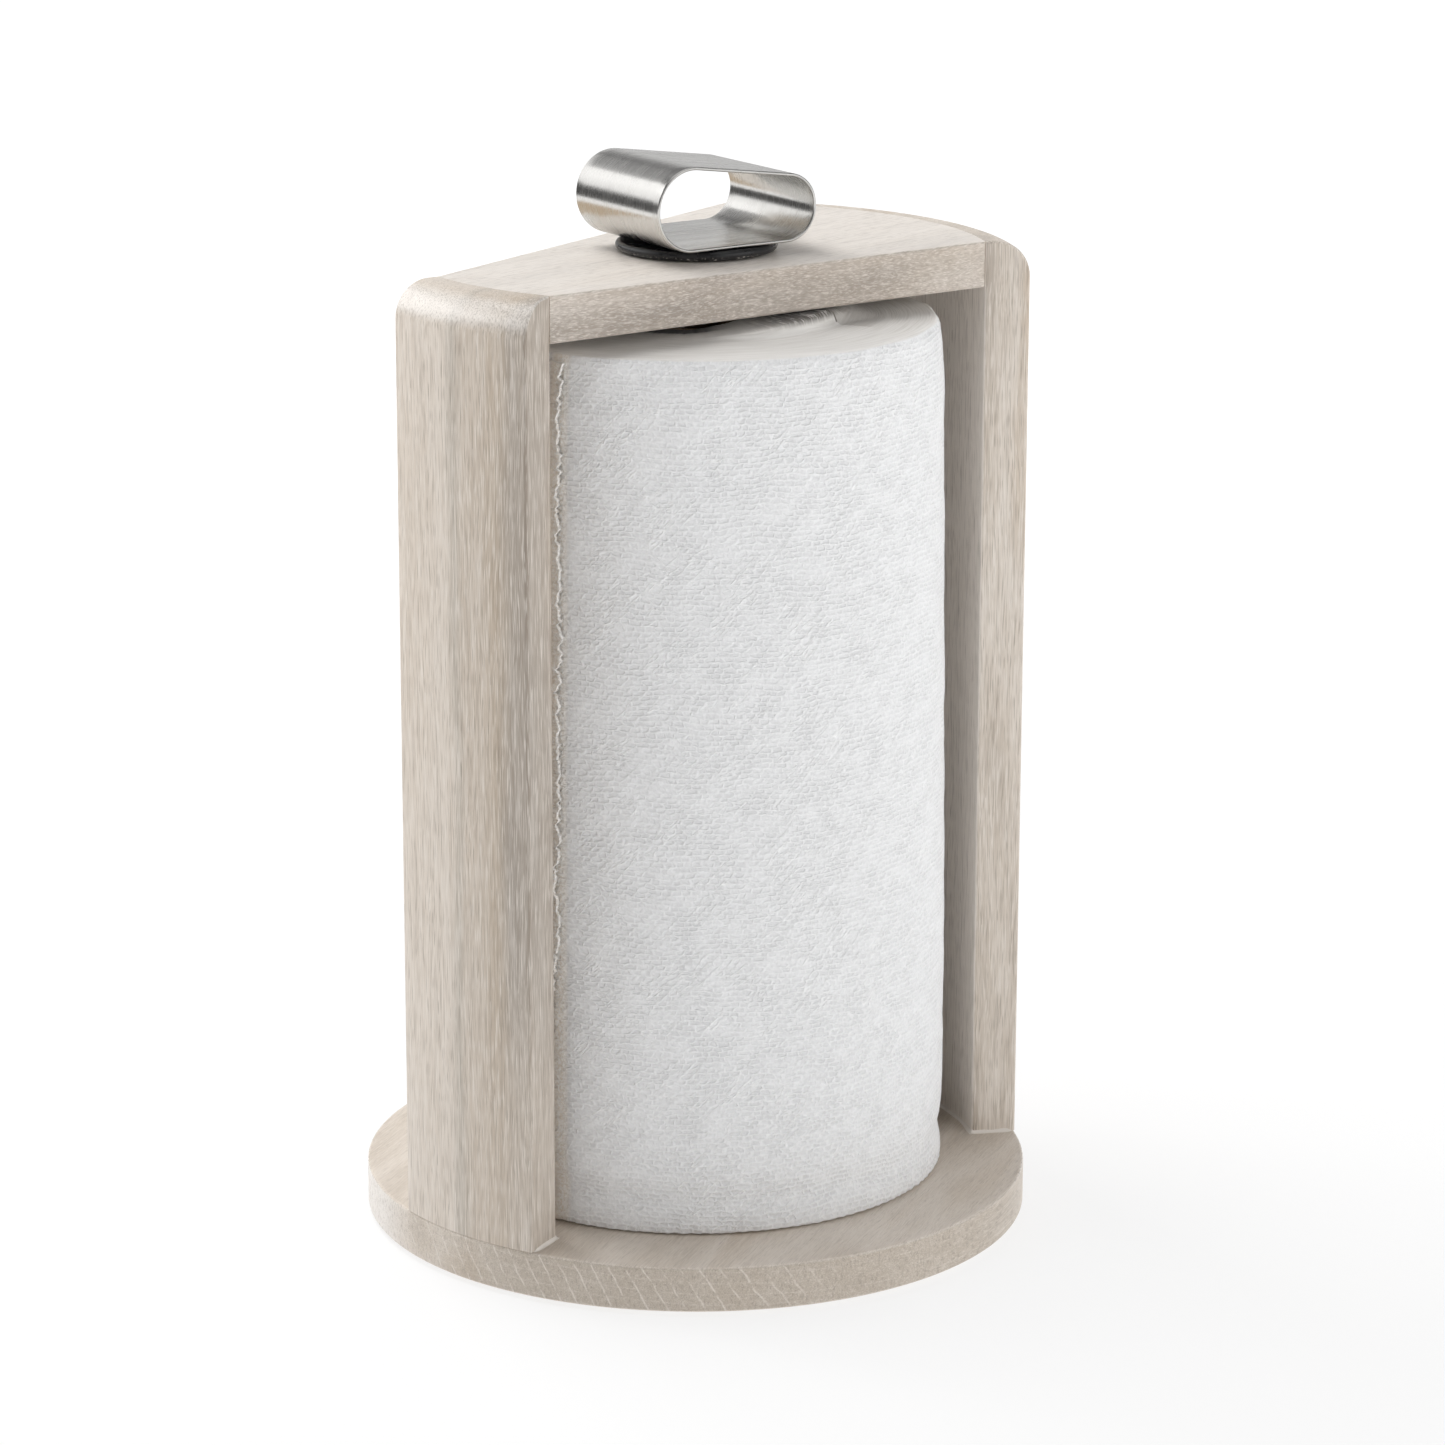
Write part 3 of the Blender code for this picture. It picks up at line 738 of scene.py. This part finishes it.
def floor_glow(s):
    """A little more glow away from the lights."""
    x, y, _ = s.position().parts()
    return s.from_axis(x, y).fade(0.3, 1.6).scaled(0.76, 0.98)


# Wooden pieces


def stave_section(inner, outer, bottom, top, inset):
    """The upright's section, moved in by inset all round, as (radius, height) from its inner foot."""
    fillet = STAVE_FILLET - inset
    points = [(inner + inset, bottom + inset * 0.3), (inner + inset, top - inset)]
    points += arc((outer - STAVE_FILLET, top - STAVE_FILLET), fillet, 90, 0, 12)
    points.append((outer - inset, bottom + inset * 0.3))
    return points


def eased_edge(steps=5):
    """The quarter round of an eased edge, as distances in from the edge's two faces."""
    return [(EASED * (1 - math.cos(a)), EASED * (1 - math.sin(a))) for a in spread(0, math.pi / 2, steps)]


def make_stave(name, node, middle, half_angle, surface, sizes):
    inner, outer, bottom, top = sizes
    reach = (inner + outer) / 2
    ends = [(along / reach, inset) for along, inset in eased_edge()]
    places = [(-half_angle + s, inset) for s, inset in ends]
    span = half_angle - EASED / reach
    steps = max(24, int(48 * half_angle / WIDE_HALF_ANGLE))
    places += [(turn, 0.0) for turn in spread(-span, span, steps)[1:-1]]
    places += [(half_angle - s, inset) for s, inset in reversed(ends)]
    vertices = []
    for turn, inset in places:
        section = stave_section(inner, outer, bottom, top, inset)
        vertices += [polar(r, middle + turn, z) for r, z in section]
    faces = capped_run(len(places), len(vertices) // len(places))
    return new_piece(name, vertices, faces, surface, "root", [node])


def screw_holes(low, high):
    """Countersunk holes under the uprights, as cutters: those under the narrow one first."""
    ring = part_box("base_disc")[1].x - STAVE_WALL / 2
    profile = [(0, high), (SCREW_HOLE, high), (SCREW_HOLE, low + SCREW_SINK_DEPTH), (SCREW_SINK, low),
               (SCREW_SINK, low - PAST), (0, low - PAST)]
    vertices, faces = turned(profile, 32, False)
    return [(moved(vertices, polar(ring, math.radians(angle))), faces) for angle in SCREW_ANGLES]


def dowel_holes(inner, height):
    """Holes for the dowels, as cutters: those at the narrow end first."""
    found = []
    for side, places in ((-1, NARROW_DOWELS), (1, WIDE_DOWELS)):
        for y in places:
            seam = math.sqrt(inner**2 - y**2)
            start, end = seam - DOWEL_IN_BOARD, seam + DOWEL_IN_UPRIGHT
            found.append(peg(DOWEL_HOLE, (side * start, y, height), (side * end, y, height)))
    return found


def make_base(surface):
    low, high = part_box("base_disc")
    radius = high.x
    profile = [(0, high.z), (radius * 0.5, high.z)]
    profile += arc((radius - BASE_EASED, high.z - BASE_EASED), BASE_EASED, 90, 0, 6)
    profile += arc((radius - BASE_EASED, low.z + BASE_EASED), BASE_EASED, 0, -90, 6)
    profile += [(radius * 0.5, low.z), (0, low.z)]
    vertices, faces = turned(profile, 256, False)
    base = new_piece("base_wood", vertices, faces, surface, "root", ["base_disc"])
    socket = peg(LINER_HOLE, (0, 0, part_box("base_socket")[0].z - GAP), (0, 0, high.z + PAST), 64)
    bored(base, [socket] + screw_holes(low.z + SCREW_START, high.z + PAST))
    soften(base)


def make_uprights(narrow_surface, wide_surface):
    """Makes both, and gives back their inner and outer radius, and the heights of their foot and top."""
    base_low, base_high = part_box("base_disc")
    outer, top = base_high.x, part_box("wide_upright")[1].z
    sizes = (outer - STAVE_WALL, outer, base_high.z, top)
    screws = screw_holes(base_low.z + SCREW_START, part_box("upright_screw_1")[1].z + GAP)
    dowels = dowel_holes(sizes[0], top - BOARD_THICKNESS / 2)
    narrow_holes = screws[:2] + dowels[:2]
    wide_holes = screws[2:] + dowels[2:]
    for node, middle, half_angle, surface, holes in (
            ("narrow_upright", math.pi, NARROW_HALF_ANGLE, narrow_surface, narrow_holes),
            ("wide_upright", 0.0, WIDE_HALF_ANGLE, wide_surface, wide_holes)):
        upright = make_stave(node + "_wood", node, middle, half_angle, surface, sizes)
        bored(upright, holes)
        soften(upright)
    return sizes


def make_board(surface, sizes):
    """Planks of straight lines from one curved end to the other, with eased long edges."""
    inner, _, _, top = sizes
    under = top - BOARD_THICKNESS
    along_steps = 40
    across_steps = 28
    vertices = []
    for t in spread(0, 1, along_steps):

        def across(share):
            near, far = inner - NARROW_SEAM, inner - WIDE_SEAM
            a = (-near * math.cos(share * NARROW_HALF_ANGLE), near * math.sin(share * NARROW_HALF_ANGLE))
            b = (far * math.cos(share * WIDE_HALF_ANGLE), far * math.sin(share * WIDE_HALF_ANGLE))
            return a[0] + (b[0] - a[0]) * t, a[1] + (b[1] - a[1]) * t

        width = across(1)[1]
        side = [(1 - along / width, inset) for along, inset in eased_edge()]
        edge = side[-1][0]
        half = [(-share, inset) for share, inset in side]
        half += [(share, 0.0) for share in spread(-edge, edge, across_steps)[1:-1]]
        half += reversed(side)
        vertices += [(*across(share), top - inset) for share, inset in half]
        vertices += [(*across(share), under + inset) for share, inset in reversed(half)]
    count = len(vertices) // (along_steps + 1)
    faces = grid(along_steps + 1, count, False, True)
    for first in (0, along_steps * count):
        for k in range(count // 2 - 1):
            faces.append((first + k, first + k + 1, first + count - 2 - k, first + count - 1 - k))
    board = new_piece("top_board_wood", vertices, faces, surface, "root", ["top_board"])
    bush = peg(LINER_HOLE, (0, 0, under - PAST), (0, 0, top + PAST), 64)
    bored(board, [bush] + dowel_holes(inner, top - BOARD_THICKNESS / 2))
    soften(board)


def make_bead(name, middle, half_angle, surface, sizes):
    """The fine hollow bead of finish at an upright's foot, on its inner face and both cut faces."""
    inner, outer, bottom, _ = sizes
    cut_end = outer - EASED
    legs = []
    for side in (-1, 1):
        a = middle + side * half_angle
        normal = Vector((-math.sin(a), math.cos(a), 0)) * side
        radial = Vector(polar(1, a))
        leg = []
        for r in spread(cut_end, inner + EASED, 8):
            leg.append((radial * r, normal * min(1.0, (cut_end - r) / 0.002 + 0.02)))
        legs.append(leg + [(radial * inner, (normal - radial).normalized() * 1.3)])
    radials = [Vector(polar(1, a)) for a in spread(middle - half_angle, middle + half_angle, 40)[1:-1]]
    inside = [(radial * inner, -radial) for radial in radials]
    points = legs[0] + inside + legs[1][-1:] + legs[1][-2::-1]
    section = [(-GAP, 0.0)] + arc((BEAD, BEAD), BEAD, -90, -180, 6) + [(-GAP, BEAD)]
    vertices = []
    for number, (place, normal) in enumerate(points):
        size = 0.8 + 0.35 * lump(number * 0.35, middle, 0)
        for out, up in section:
            spot = place + normal * (out * size if out > 0 else out)
            vertices.append((spot.x, spot.y, bottom + up * size * min(1.0, normal.length + 0.1)))
    bead = new_piece(name, vertices, capped_run(len(points), len(section)), surface, "root")
    soften(bead, 60)


# Spindle


def handle_outline():
    """(point, outward normal) round the handle's section, in its own plane, with its floor at height 0."""
    slope = 2 * math.atan2(HANDLE_BIG - HANDLE_SMALL, HANDLE_CENTRES)

    def end_turn(side, radius, start, end):
        centre = Vector((HANDLE_SHIFT + side * HANDLE_CENTRES / 2, radius))
        normals = [Vector((math.cos(a), math.sin(a))) for a in spread(start, end, 56)]
        return [(centre + n * radius, n) for n in normals]

    def run(start, end, normal):
        return [(start.lerp(end, share), normal) for share in spread(0, 1, 20)[1:-1]]

    right = end_turn(1, HANDLE_SMALL, -math.pi / 2, math.pi / 2 - slope)
    left = end_turn(-1, HANDLE_BIG, math.pi / 2 - slope, 3 * math.pi / 2)
    roof = run(right[-1][0], left[0][0], right[-1][1])
    return right + roof + left + run(left[-1][0], right[0][0], Vector((0, -1)))


def make_handle(surface):
    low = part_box("handle_sleeve")[0].z
    lip = HANDLE_WALL / 2
    flat = HANDLE_DEPTH / 2 - lip
    # The band's section, as (inset from its outer surface, depth)
    section = [(0.0, depth) for depth in spread(flat, -flat, 12)]
    section += arc((lip, -flat), lip, 180, 360, 8)[1:-1]
    section += [(HANDLE_WALL, depth) for depth in spread(-flat, flat, 12)]
    section += arc((lip, flat), lip, 0, 180, 8)[1:-1]
    outline = handle_outline()
    turn = Matrix.Rotation(HANDLE_TURN, 3, "Z")
    vertices, uvs, run = [], [], 0.0
    for number, (point, n) in enumerate(outline):
        if number:
            run += (point - outline[number - 1][0]).length
        for inset, depth in section:
            p = point - n * inset
            spot = turn @ Vector((p.x, -depth, p.y))
            vertices.append((spot.x, spot.y, spot.z + low))
            uvs.append((depth, run))
    faces = grid(len(outline), len(section), True, True)
    handle = new_piece("handle_loop", vertices, faces, surface, "spindle", ["handle_sleeve"])
    layer = handle.data.uv_layers.new(name="UVMap")
    last_row = (len(outline) - 1) * len(section)
    total = run + (outline[0][0] - outline[-1][0]).length
    for polygon in handle.data.polygons:
        corners = [handle.data.loops[i].vertex_index for i in polygon.loop_indices]
        wraps = max(corners) >= last_row and min(corners) < len(section)
        for i, corner in zip(polygon.loop_indices, corners):
            u, v = uvs[corner]
            layer.data[i].uv = (u, total if wraps and corner < len(section) else v)
    handle.data.shade_smooth()


def make_spindle(steel, zinc, plastic, rubber):
    low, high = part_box("spindle_washer")
    edge = (high.z - low.z) / 2
    profile = [(WASHER_HOLE, high.z)] + arc((high.x - edge, low.z + edge), edge, 90, -90, 16)
    profile.append((WASHER_HOLE, low.z))
    turned_piece("rubber_washer", profile, True, rubber, "washer", ["spindle_washer"], 160)

    low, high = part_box("spindle_rod")
    profile = rounded_ring(high.x - ROD_WALL, high.x, low.z, high.z, 0.0002, 2)
    turned_piece("rod_tube", profile, True, steel, "spindle", ["spindle_rod"])
    rod = high.x

    low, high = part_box("rod_plug")
    stem = rod - ROD_WALL - GAP
    neck = high.z - PLUG_HEAD
    profile = [(PLUG_BORE, high.z), (rod - 0.0003, high.z), (rod, high.z - 0.0003), (rod, neck),
               (stem, neck), (stem, low.z), (PLUG_BORE, low.z)]
    turned_piece("tube_plug", profile, True, zinc, "spindle", ["rod_plug"])

    low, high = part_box("handle_stud")
    collar, tall = STUD_COLLAR
    profile = [(0, high.z), (collar, high.z), (collar, high.z - tall)]
    z = high.z - tall - 0.0002
    while z > low.z + STUD_PITCH:
        profile += [(STUD_CREST, z), (STUD_ROOT, z - STUD_PITCH / 2)]
        z -= STUD_PITCH
    profile += [(0.0021, low.z), (0, low.z)]
    turned_piece("threaded_stud", profile, False, zinc, "spindle", ["handle_stud"], 64)

    low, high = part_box("rod_tip")
    shoulder = low.z + TIP_DOME
    profile = [(0, high.z), (stem - 0.0004, high.z), (stem, high.z - 0.0004), (stem, shoulder)]
    profile += [(TIP_FLAT + (rod - TIP_FLAT) * math.cos(a), shoulder - TIP_DOME * math.sin(a))
                for a in spread(0, math.pi / 2, 12)]
    profile.append((0, low.z))
    turned_piece("tube_tip", profile, False, plastic, "spindle", ["rod_tip"])


def centre_of(low, high):
    return (low.x + high.x) / 2, (low.y + high.y) / 2


def slot_cutter(turn, low, middle):
    """One arm of the cross in a screw's head, as a cutter."""
    corners = []
    for z in (-1, 1):
        for x, y in ((-1, -1), (1, -1), (1, 1), (-1, 1)):
            arm = Vector((x, y, z)) * Vector(CROSS_ARM)
            spot = Matrix.Rotation(turn, 3, "Z") @ arm
            corners.append((spot.x + middle[0], spot.y + middle[1], spot.z + low.z))
    return corners, [(0, 3, 2, 1), (4, 5, 6, 7), (0, 1, 5, 4), (1, 2, 6, 5), (2, 3, 7, 6), (3, 0, 4, 7)]


def make_fittings(plastic, rubber, zinc):
    """The bush, the socket, the feet and the screws."""
    low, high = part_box("board_bush")
    profile = rounded_ring(NYLON_BORE, high.x, low.z, high.z, 0.0004)
    turned_piece("bush_ring", profile, True, plastic, "root", ["board_bush"])
    low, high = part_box("base_socket")
    floor = low.z + SOCKET_FLOOR
    flat = NYLON_BORE - SOCKET_FILLET
    profile = [(0, floor), (flat, floor)] + arc((flat, floor + SOCKET_FILLET), SOCKET_FILLET, -90, 0, 5)
    profile += [(NYLON_BORE, high.z - 0.0003), (NYLON_BORE + 0.0003, high.z), (high.x, high.z),
                (high.x, low.z), (0, low.z)]
    turned_piece("socket_cup", profile, False, plastic, "root", ["base_socket"])
    for number in range(1, 5):
        low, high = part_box(f"foot_{number}")
        middle = centre_of(low, high)
        radius = (high.x - low.x) / 2
        profile = [(0, high.z), (radius, high.z)] + arc((radius - 0.0004, low.z + 0.0004), 0.0004, 0, -90, 4)
        profile.append((0, low.z))
        turned_piece(f"rubber_foot_{number}", profile, False, rubber, "root",
                     [f"foot_{number}"], 48, middle)
    for number in range(1, 6):
        low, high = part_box(f"upright_screw_{number}")
        middle = centre_of(low, high)
        profile = [(0, low.z), (SCREW_HEAD - 0.0001, low.z), (SCREW_HEAD, low.z + 0.0002),
                   (SCREW_CREST, low.z + 0.0024)]
        z = low.z + 0.009
        while z < high.z - 0.004:
            profile += [(SCREW_ROOT, z), (SCREW_CREST, z + 0.0006), (SCREW_ROOT, z + 0.0012)]
            z += SCREW_PITCH
        profile += [(0.0012, high.z - 0.003), (0, high.z)]
        screw = turned_piece(f"steel_screw_{number}", profile, False, zinc, "root",
                             [f"upright_screw_{number}"], 32, middle)
        screw.modifiers.clear()
        bored(screw, [slot_cutter(turn, low, middle) for turn in (math.pi / 4, 3 * math.pi / 4)])
        soften(screw)


# The roll


def ripple(angle, z):
    """How far the wound paper stands off a true cylinder, in metres."""
    lean = angle + z * 3.0
    slow = ring_lump(lean, 3.2, z * 34)
    quick = ring_lump(lean, 9.0, z * 90 + 7)
    fine = ring_lump(angle, 22.0, z * 300 + 3)
    return 0.00026 * slow + 0.00022 * quick + 0.00011 * fine


def side_shape(angle, z, low, high, radius):
    """The roll's outer radius: slack towards the top, pinched above a crimped bottom edge."""
    down = high - z
    up = z - low
    shape = radius - SLACK * clamp((up - 0.085) / 0.16) + ripple(angle, z)
    shape -= (0.0014 + 0.0012 * ring_lump(angle, 5, 11)) * max(0.0, 1 - down / 0.022) ** 2
    shape -= 0.0011 * math.exp(-(((up - 0.010) / 0.004) ** 2))
    crimp = 0.5 + 0.5 * math.cos(angle * 130 + 4 * ring_lump(angle, 8, 1))
    return shape - 0.0006 * crimp * max(0.0, 1 - up / 0.0055)


def raised(angle, r):
    """How far the loosened inner layers stand above the roll's end, with a step where they stop."""
    share = ((NOTCH - angle) % math.tau) / math.tau
    wobble = ring_lump(angle, 2.2, 4)
    height = RAISED_HEIGHT * (1 - 0.92 * smooth(clamp(share / 0.22))) + 0.0002 * wobble
    foot = RAISED_RADIUS + 0.0009 * wobble
    steep = 0.0022
    if share > 0.72:
        slack = (share - 0.72) / 0.28
        height += (RAISED_HEIGHT * 0.92 - height) * slack
        flare = slack * smooth(clamp((1 - share) / 0.05))
        foot += 0.010 * flare
        steep += 0.016 * flare
    t = clamp((foot - r) / steep)
    crease = lump(angle * 26, r * 130, 9) + 0.6 * lump(angle * 70, r * 90, 2)
    hollow = 0.0005 * clamp((0.0355 - r) / 0.006) * (1 - height / RAISED_HEIGHT)
    return height * smooth(t) + 0.00014 * crease * t - hollow


def make_roll(paper, card):
    low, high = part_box("paper_roll")
    radius, low_z, high_z = high.x, low.z, high.z
    end_z = high_z - 0.0004
    bottom_z = low_z + 0.0010
    core_low, core_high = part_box("roll_core")
    inner = core_high.x + GAP
    around = 400
    side_rows = 140
    top_rows = 40
    soft = 0.0017
    vertices = []
    for j in range(around):
        a = math.tau * j / around
        c, s = math.cos(a), math.sin(a)
        column = []
        top_edge = side_shape(a, high_z, low_z, high_z, radius)
        for r in spread(inner, top_edge - soft, top_rows - 1):
            sag = 0.0004 * lump(c * r * 60, s * r * 60, 1)
            column.append((r, end_z + sag * min(1.0, (r - inner) / 0.004) + raised(a, r)))
        for t in spread(0, math.pi / 2, 6)[1:-1]:
            column.append((top_edge - soft + soft * math.sin(t), end_z - soft * (1 - math.cos(t))))
        for z in spread(end_z - soft, bottom_z, side_rows - 1):
            column.append((side_shape(a, z, low_z, high_z, radius), z))
        foot = side_shape(a, bottom_z, low_z, high_z, radius)
        column += [(foot - 0.0003, low_z + 0.0003), (foot - 0.0011, low_z), (foot - 0.012, low_z),
                   (inner, low_z)]
        vertices += [(r * c, r * s, z) for r, z in column]
    count = len(vertices) // around
    roll = new_piece("towel_roll", vertices, grid(around, count, True, True), paper, "roll",
                     ["paper_roll"])
    roll.data.shade_smooth()
    make_free_sheet(paper, low_z, high_z, radius)

    profile = rounded_ring(-core_low.x - CARD_WALL, core_high.x, core_low.z, core_high.z, 0.0003, 2)
    turned_piece("card_core", profile, True, card, "roll", ["roll_core"], 128)


def make_free_sheet(paper, low_z, high_z, radius):
    """The end of the outermost sheet: its torn perforation stands a little off the roll."""
    rows = 620
    columns = 40
    reach = math.radians(38)
    outside, inside = [], []
    for z in spread(low_z + 0.0004, high_z - 0.0026, rows):
        tab = abs(math.sin(math.pi * z / 0.0062)) ** 0.6
        torn = 0.0011 * (tab - 0.5) + 0.0015 * lump(z * 48, 3, 0) - 0.0045 * clamp((0.105 - z) / 0.045)
        torn += 0.0010 * lump(z * 260, 4, 0) + 0.0007 * lump(z * 900, 5, 0)
        lift = max(0.0003, 0.0021 + 0.0013 * lump(z * 75, 8, 0) + 0.0010 * lump(z * 520, 1, 0))
        for across in spread(0, 1, columns):
            share = across**1.6
            near = max(0.0, 1 - share / 0.10)
            angle = FREE_EDGE - reach * share + torn / radius * near
            off = 0.00045 + lift * near
            off -= 0.0007 * max(0.0, (share - 0.7) / 0.3)
            curl = 0.0006 * near * lump(z * 900, share * 40, 6)
            r = side_shape(angle, z, low_z, high_z, radius) + off + curl
            thick = 0.00022 + 0.0013 * near**3
            outside.append(polar(r, angle, z))
            inside.append(polar(r - thick, angle, z))
    width = columns + 1
    front = grid(rows + 1, width)
    shift = len(outside)
    back = [tuple(shift + v for v in reversed(face)) for face in front]
    rim = list(range(width)) + [width * (i + 1) - 1 for i in range(1, rows + 1)]
    rim += [rows * width + j for j in range(width - 2, -1, -1)] + [i * width for i in range(rows - 1, 0, -1)]
    sides = [(a, b, b + shift, a + shift) for a, b in zip(rim, rim[1:] + rim[:1])]
    sheet = new_piece("towel_free_end", outside + inside, front + back + sides, paper, "roll")
    sheet.data.shade_smooth()


# Stage


def make_camera():
    data = bpy.data.cameras.new("camera")
    data.lens = CAMERA_LENS
    data.sensor_width = CAMERA_SENSOR
    camera = added("camera", data)
    yaw = CAMERA_ANGLE + math.pi + CAMERA_YAW
    forward = Vector(polar(math.cos(CAMERA_PITCH), yaw, -math.sin(CAMERA_PITCH)))
    right = Vector((math.sin(yaw), -math.cos(yaw), 0.0))
    up = right.cross(forward)
    c, s = math.cos(CAMERA_ROLL), math.sin(CAMERA_ROLL)
    right, up = right * c + up * s, up * c - right * s
    matrix = Matrix((right, up, -forward)).transposed().to_4x4()
    matrix.translation = polar(CAMERA_DISTANCE, CAMERA_ANGLE, CAMERA_HEIGHT)
    camera.matrix_world = matrix
    bpy.context.scene.camera = camera


def aim(thing, axis, angle, elevation, distance, target):
    """Puts a thing this far from its target, by degrees from +X and up from level, facing it."""
    e = math.radians(elevation)
    place = Vector(polar(math.cos(e), math.radians(angle), math.sin(e))) * distance + Vector(target)
    thing.location = place
    thing.rotation_euler = (Vector(target) - place).to_track_quat(axis, "Y").to_euler()


def hide_from(thing, *rays):
    for ray in rays:
        setattr(thing, "visible_" + ray, False)


def area_light(name, angle, elevation, distance, side, power):
    data = bpy.data.lights.new(name, "AREA")
    data.shape = "RECTANGLE"
    data.size = data.size_y = side
    data.energy = power
    light = added(name, data)
    aim(light, "-Z", angle, elevation, distance, LIGHT_TARGET)
    hide_from(light, "camera", "glossy")


def stage_object(name, vertices, faces, material):
    mesh = new_mesh(name, vertices, faces)
    mesh.materials.append(material)
    made = added(name, mesh)
    return made


def reflection_card(name, angle, elevation, distance, size, glow, colour):
    """A plain panel that only shows in reflections."""
    x, y = size[0] / 2, size[1] / 2
    corners = [(-x, -y, 0), (x, -y, 0), (x, y, 0), (-x, y, 0)]
    card = stage_object(name, corners, [(0, 1, 2, 3)], glowing(name, glow, colour, 0.02))
    aim(card, "Z", angle, elevation, distance, CARD_TARGET)
    hide_from(card, "camera", "diffuse", "transmission", "volume_scatter", "shadow")


def make_stage():
    outline = [(0, 0), (FLOOR_RADIUS, 0), (FLOOR_RADIUS, -0.02), (0, -0.02)]
    white = glowing("floor_white", floor_glow, WHITE, 0.22, 0.9, 0.1)
    stage_object("floor", *turned(outline, 96, False), white)

    # A white wall far round the holder, so that low views have no horizon. It lights nothing.
    inner, outer = BACKDROP_RADIUS, BACKDROP_RADIUS + 0.1
    outline = [(inner, -1.0), (inner, 15.0), (outer, 15.0), (outer, -1.0)]
    wall = stage_object("backdrop", *turned(outline, 96, True), glowing("backdrop_white", 1.0, specular=0.0))
    hide_from(wall, "diffuse", "glossy", "transmission", "volume_scatter", "shadow")

    world = bpy.data.worlds.new("studio")
    world.use_nodes = True
    world.node_tree.nodes["Background"].inputs["Color"].default_value = (0.17, 0.17, 0.172, 1.0)
    bpy.context.scene.world = world
    bpy.context.scene.view_settings.view_transform = "Standard"

    for light in LIGHTS:
        area_light(*light)
    for card in CARDS:
        reflection_card(*card)


def main():
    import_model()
    make_camera()
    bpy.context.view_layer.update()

    upright = (0, math.pi / 2, 0)
    narrow_wood = limed_wood("limed_wood_narrow", upright, (0.3, 0.1, 0.2), NARROW_BANDS, strand=1.6,
                             touches=(painted_corner_shadow, painted_shoulder_highlight))
    wide_wood = limed_wood("limed_wood_wide", upright, (0.9, 0.5, 0.7), strand=1.6, touches=(painted_light_inside,))
    board_wood = limed_wood("limed_wood_board", (0, 0, 0), (0.2, 0.6, 0.1), figure=0.8,
                            touches=(painted_shade_sides_light_top,))
    base_wood = limed_wood("limed_wood_base", (0, 0, -GRAIN_OF_BASE), (0.5, 0.2, 0.4), across=0.03,
                           figure=0.55, touches=(end_grain_and_rim_shading,))
    filler = lime_filler("lime_filler")
    steel = brushed_steel("brushed_steel_loop")
    rod_steel = brushed_steel("brushed_steel_rod", along_uv=False)
    zinc = zinc_steel("zinc_plate")
    washer_rubber = black_rubber("black_rubber_washer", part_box("spindle_washer")[0].z + 0.0012)
    rubber = black_rubber("black_rubber_feet")
    plastic = nylon("white_nylon")
    card = core_card("kraft_card")
    paper = towel_paper("embossed_towel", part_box("paper_roll")[1].z)
    dowel = dowel_wood("beech_dowel")

    make_base(base_wood)
    sizes = make_uprights(narrow_wood, wide_wood)
    make_board(board_wood, sizes)
    make_bead("narrow_foot_bead", math.pi, NARROW_HALF_ANGLE, filler, sizes)
    make_bead("wide_foot_bead", 0.0, WIDE_HALF_ANGLE, filler, sizes)
    make_handle(steel)
    make_spindle(rod_steel, zinc, plastic, washer_rubber)
    make_fittings(plastic, rubber, zinc)
    make_roll(paper, card)
    for number in range(1, 6):
        node = bpy.data.objects[f"board_dowel_{number}"]
        node.data.materials.clear()
        node.data.materials.append(dowel)
    make_stage()


main()
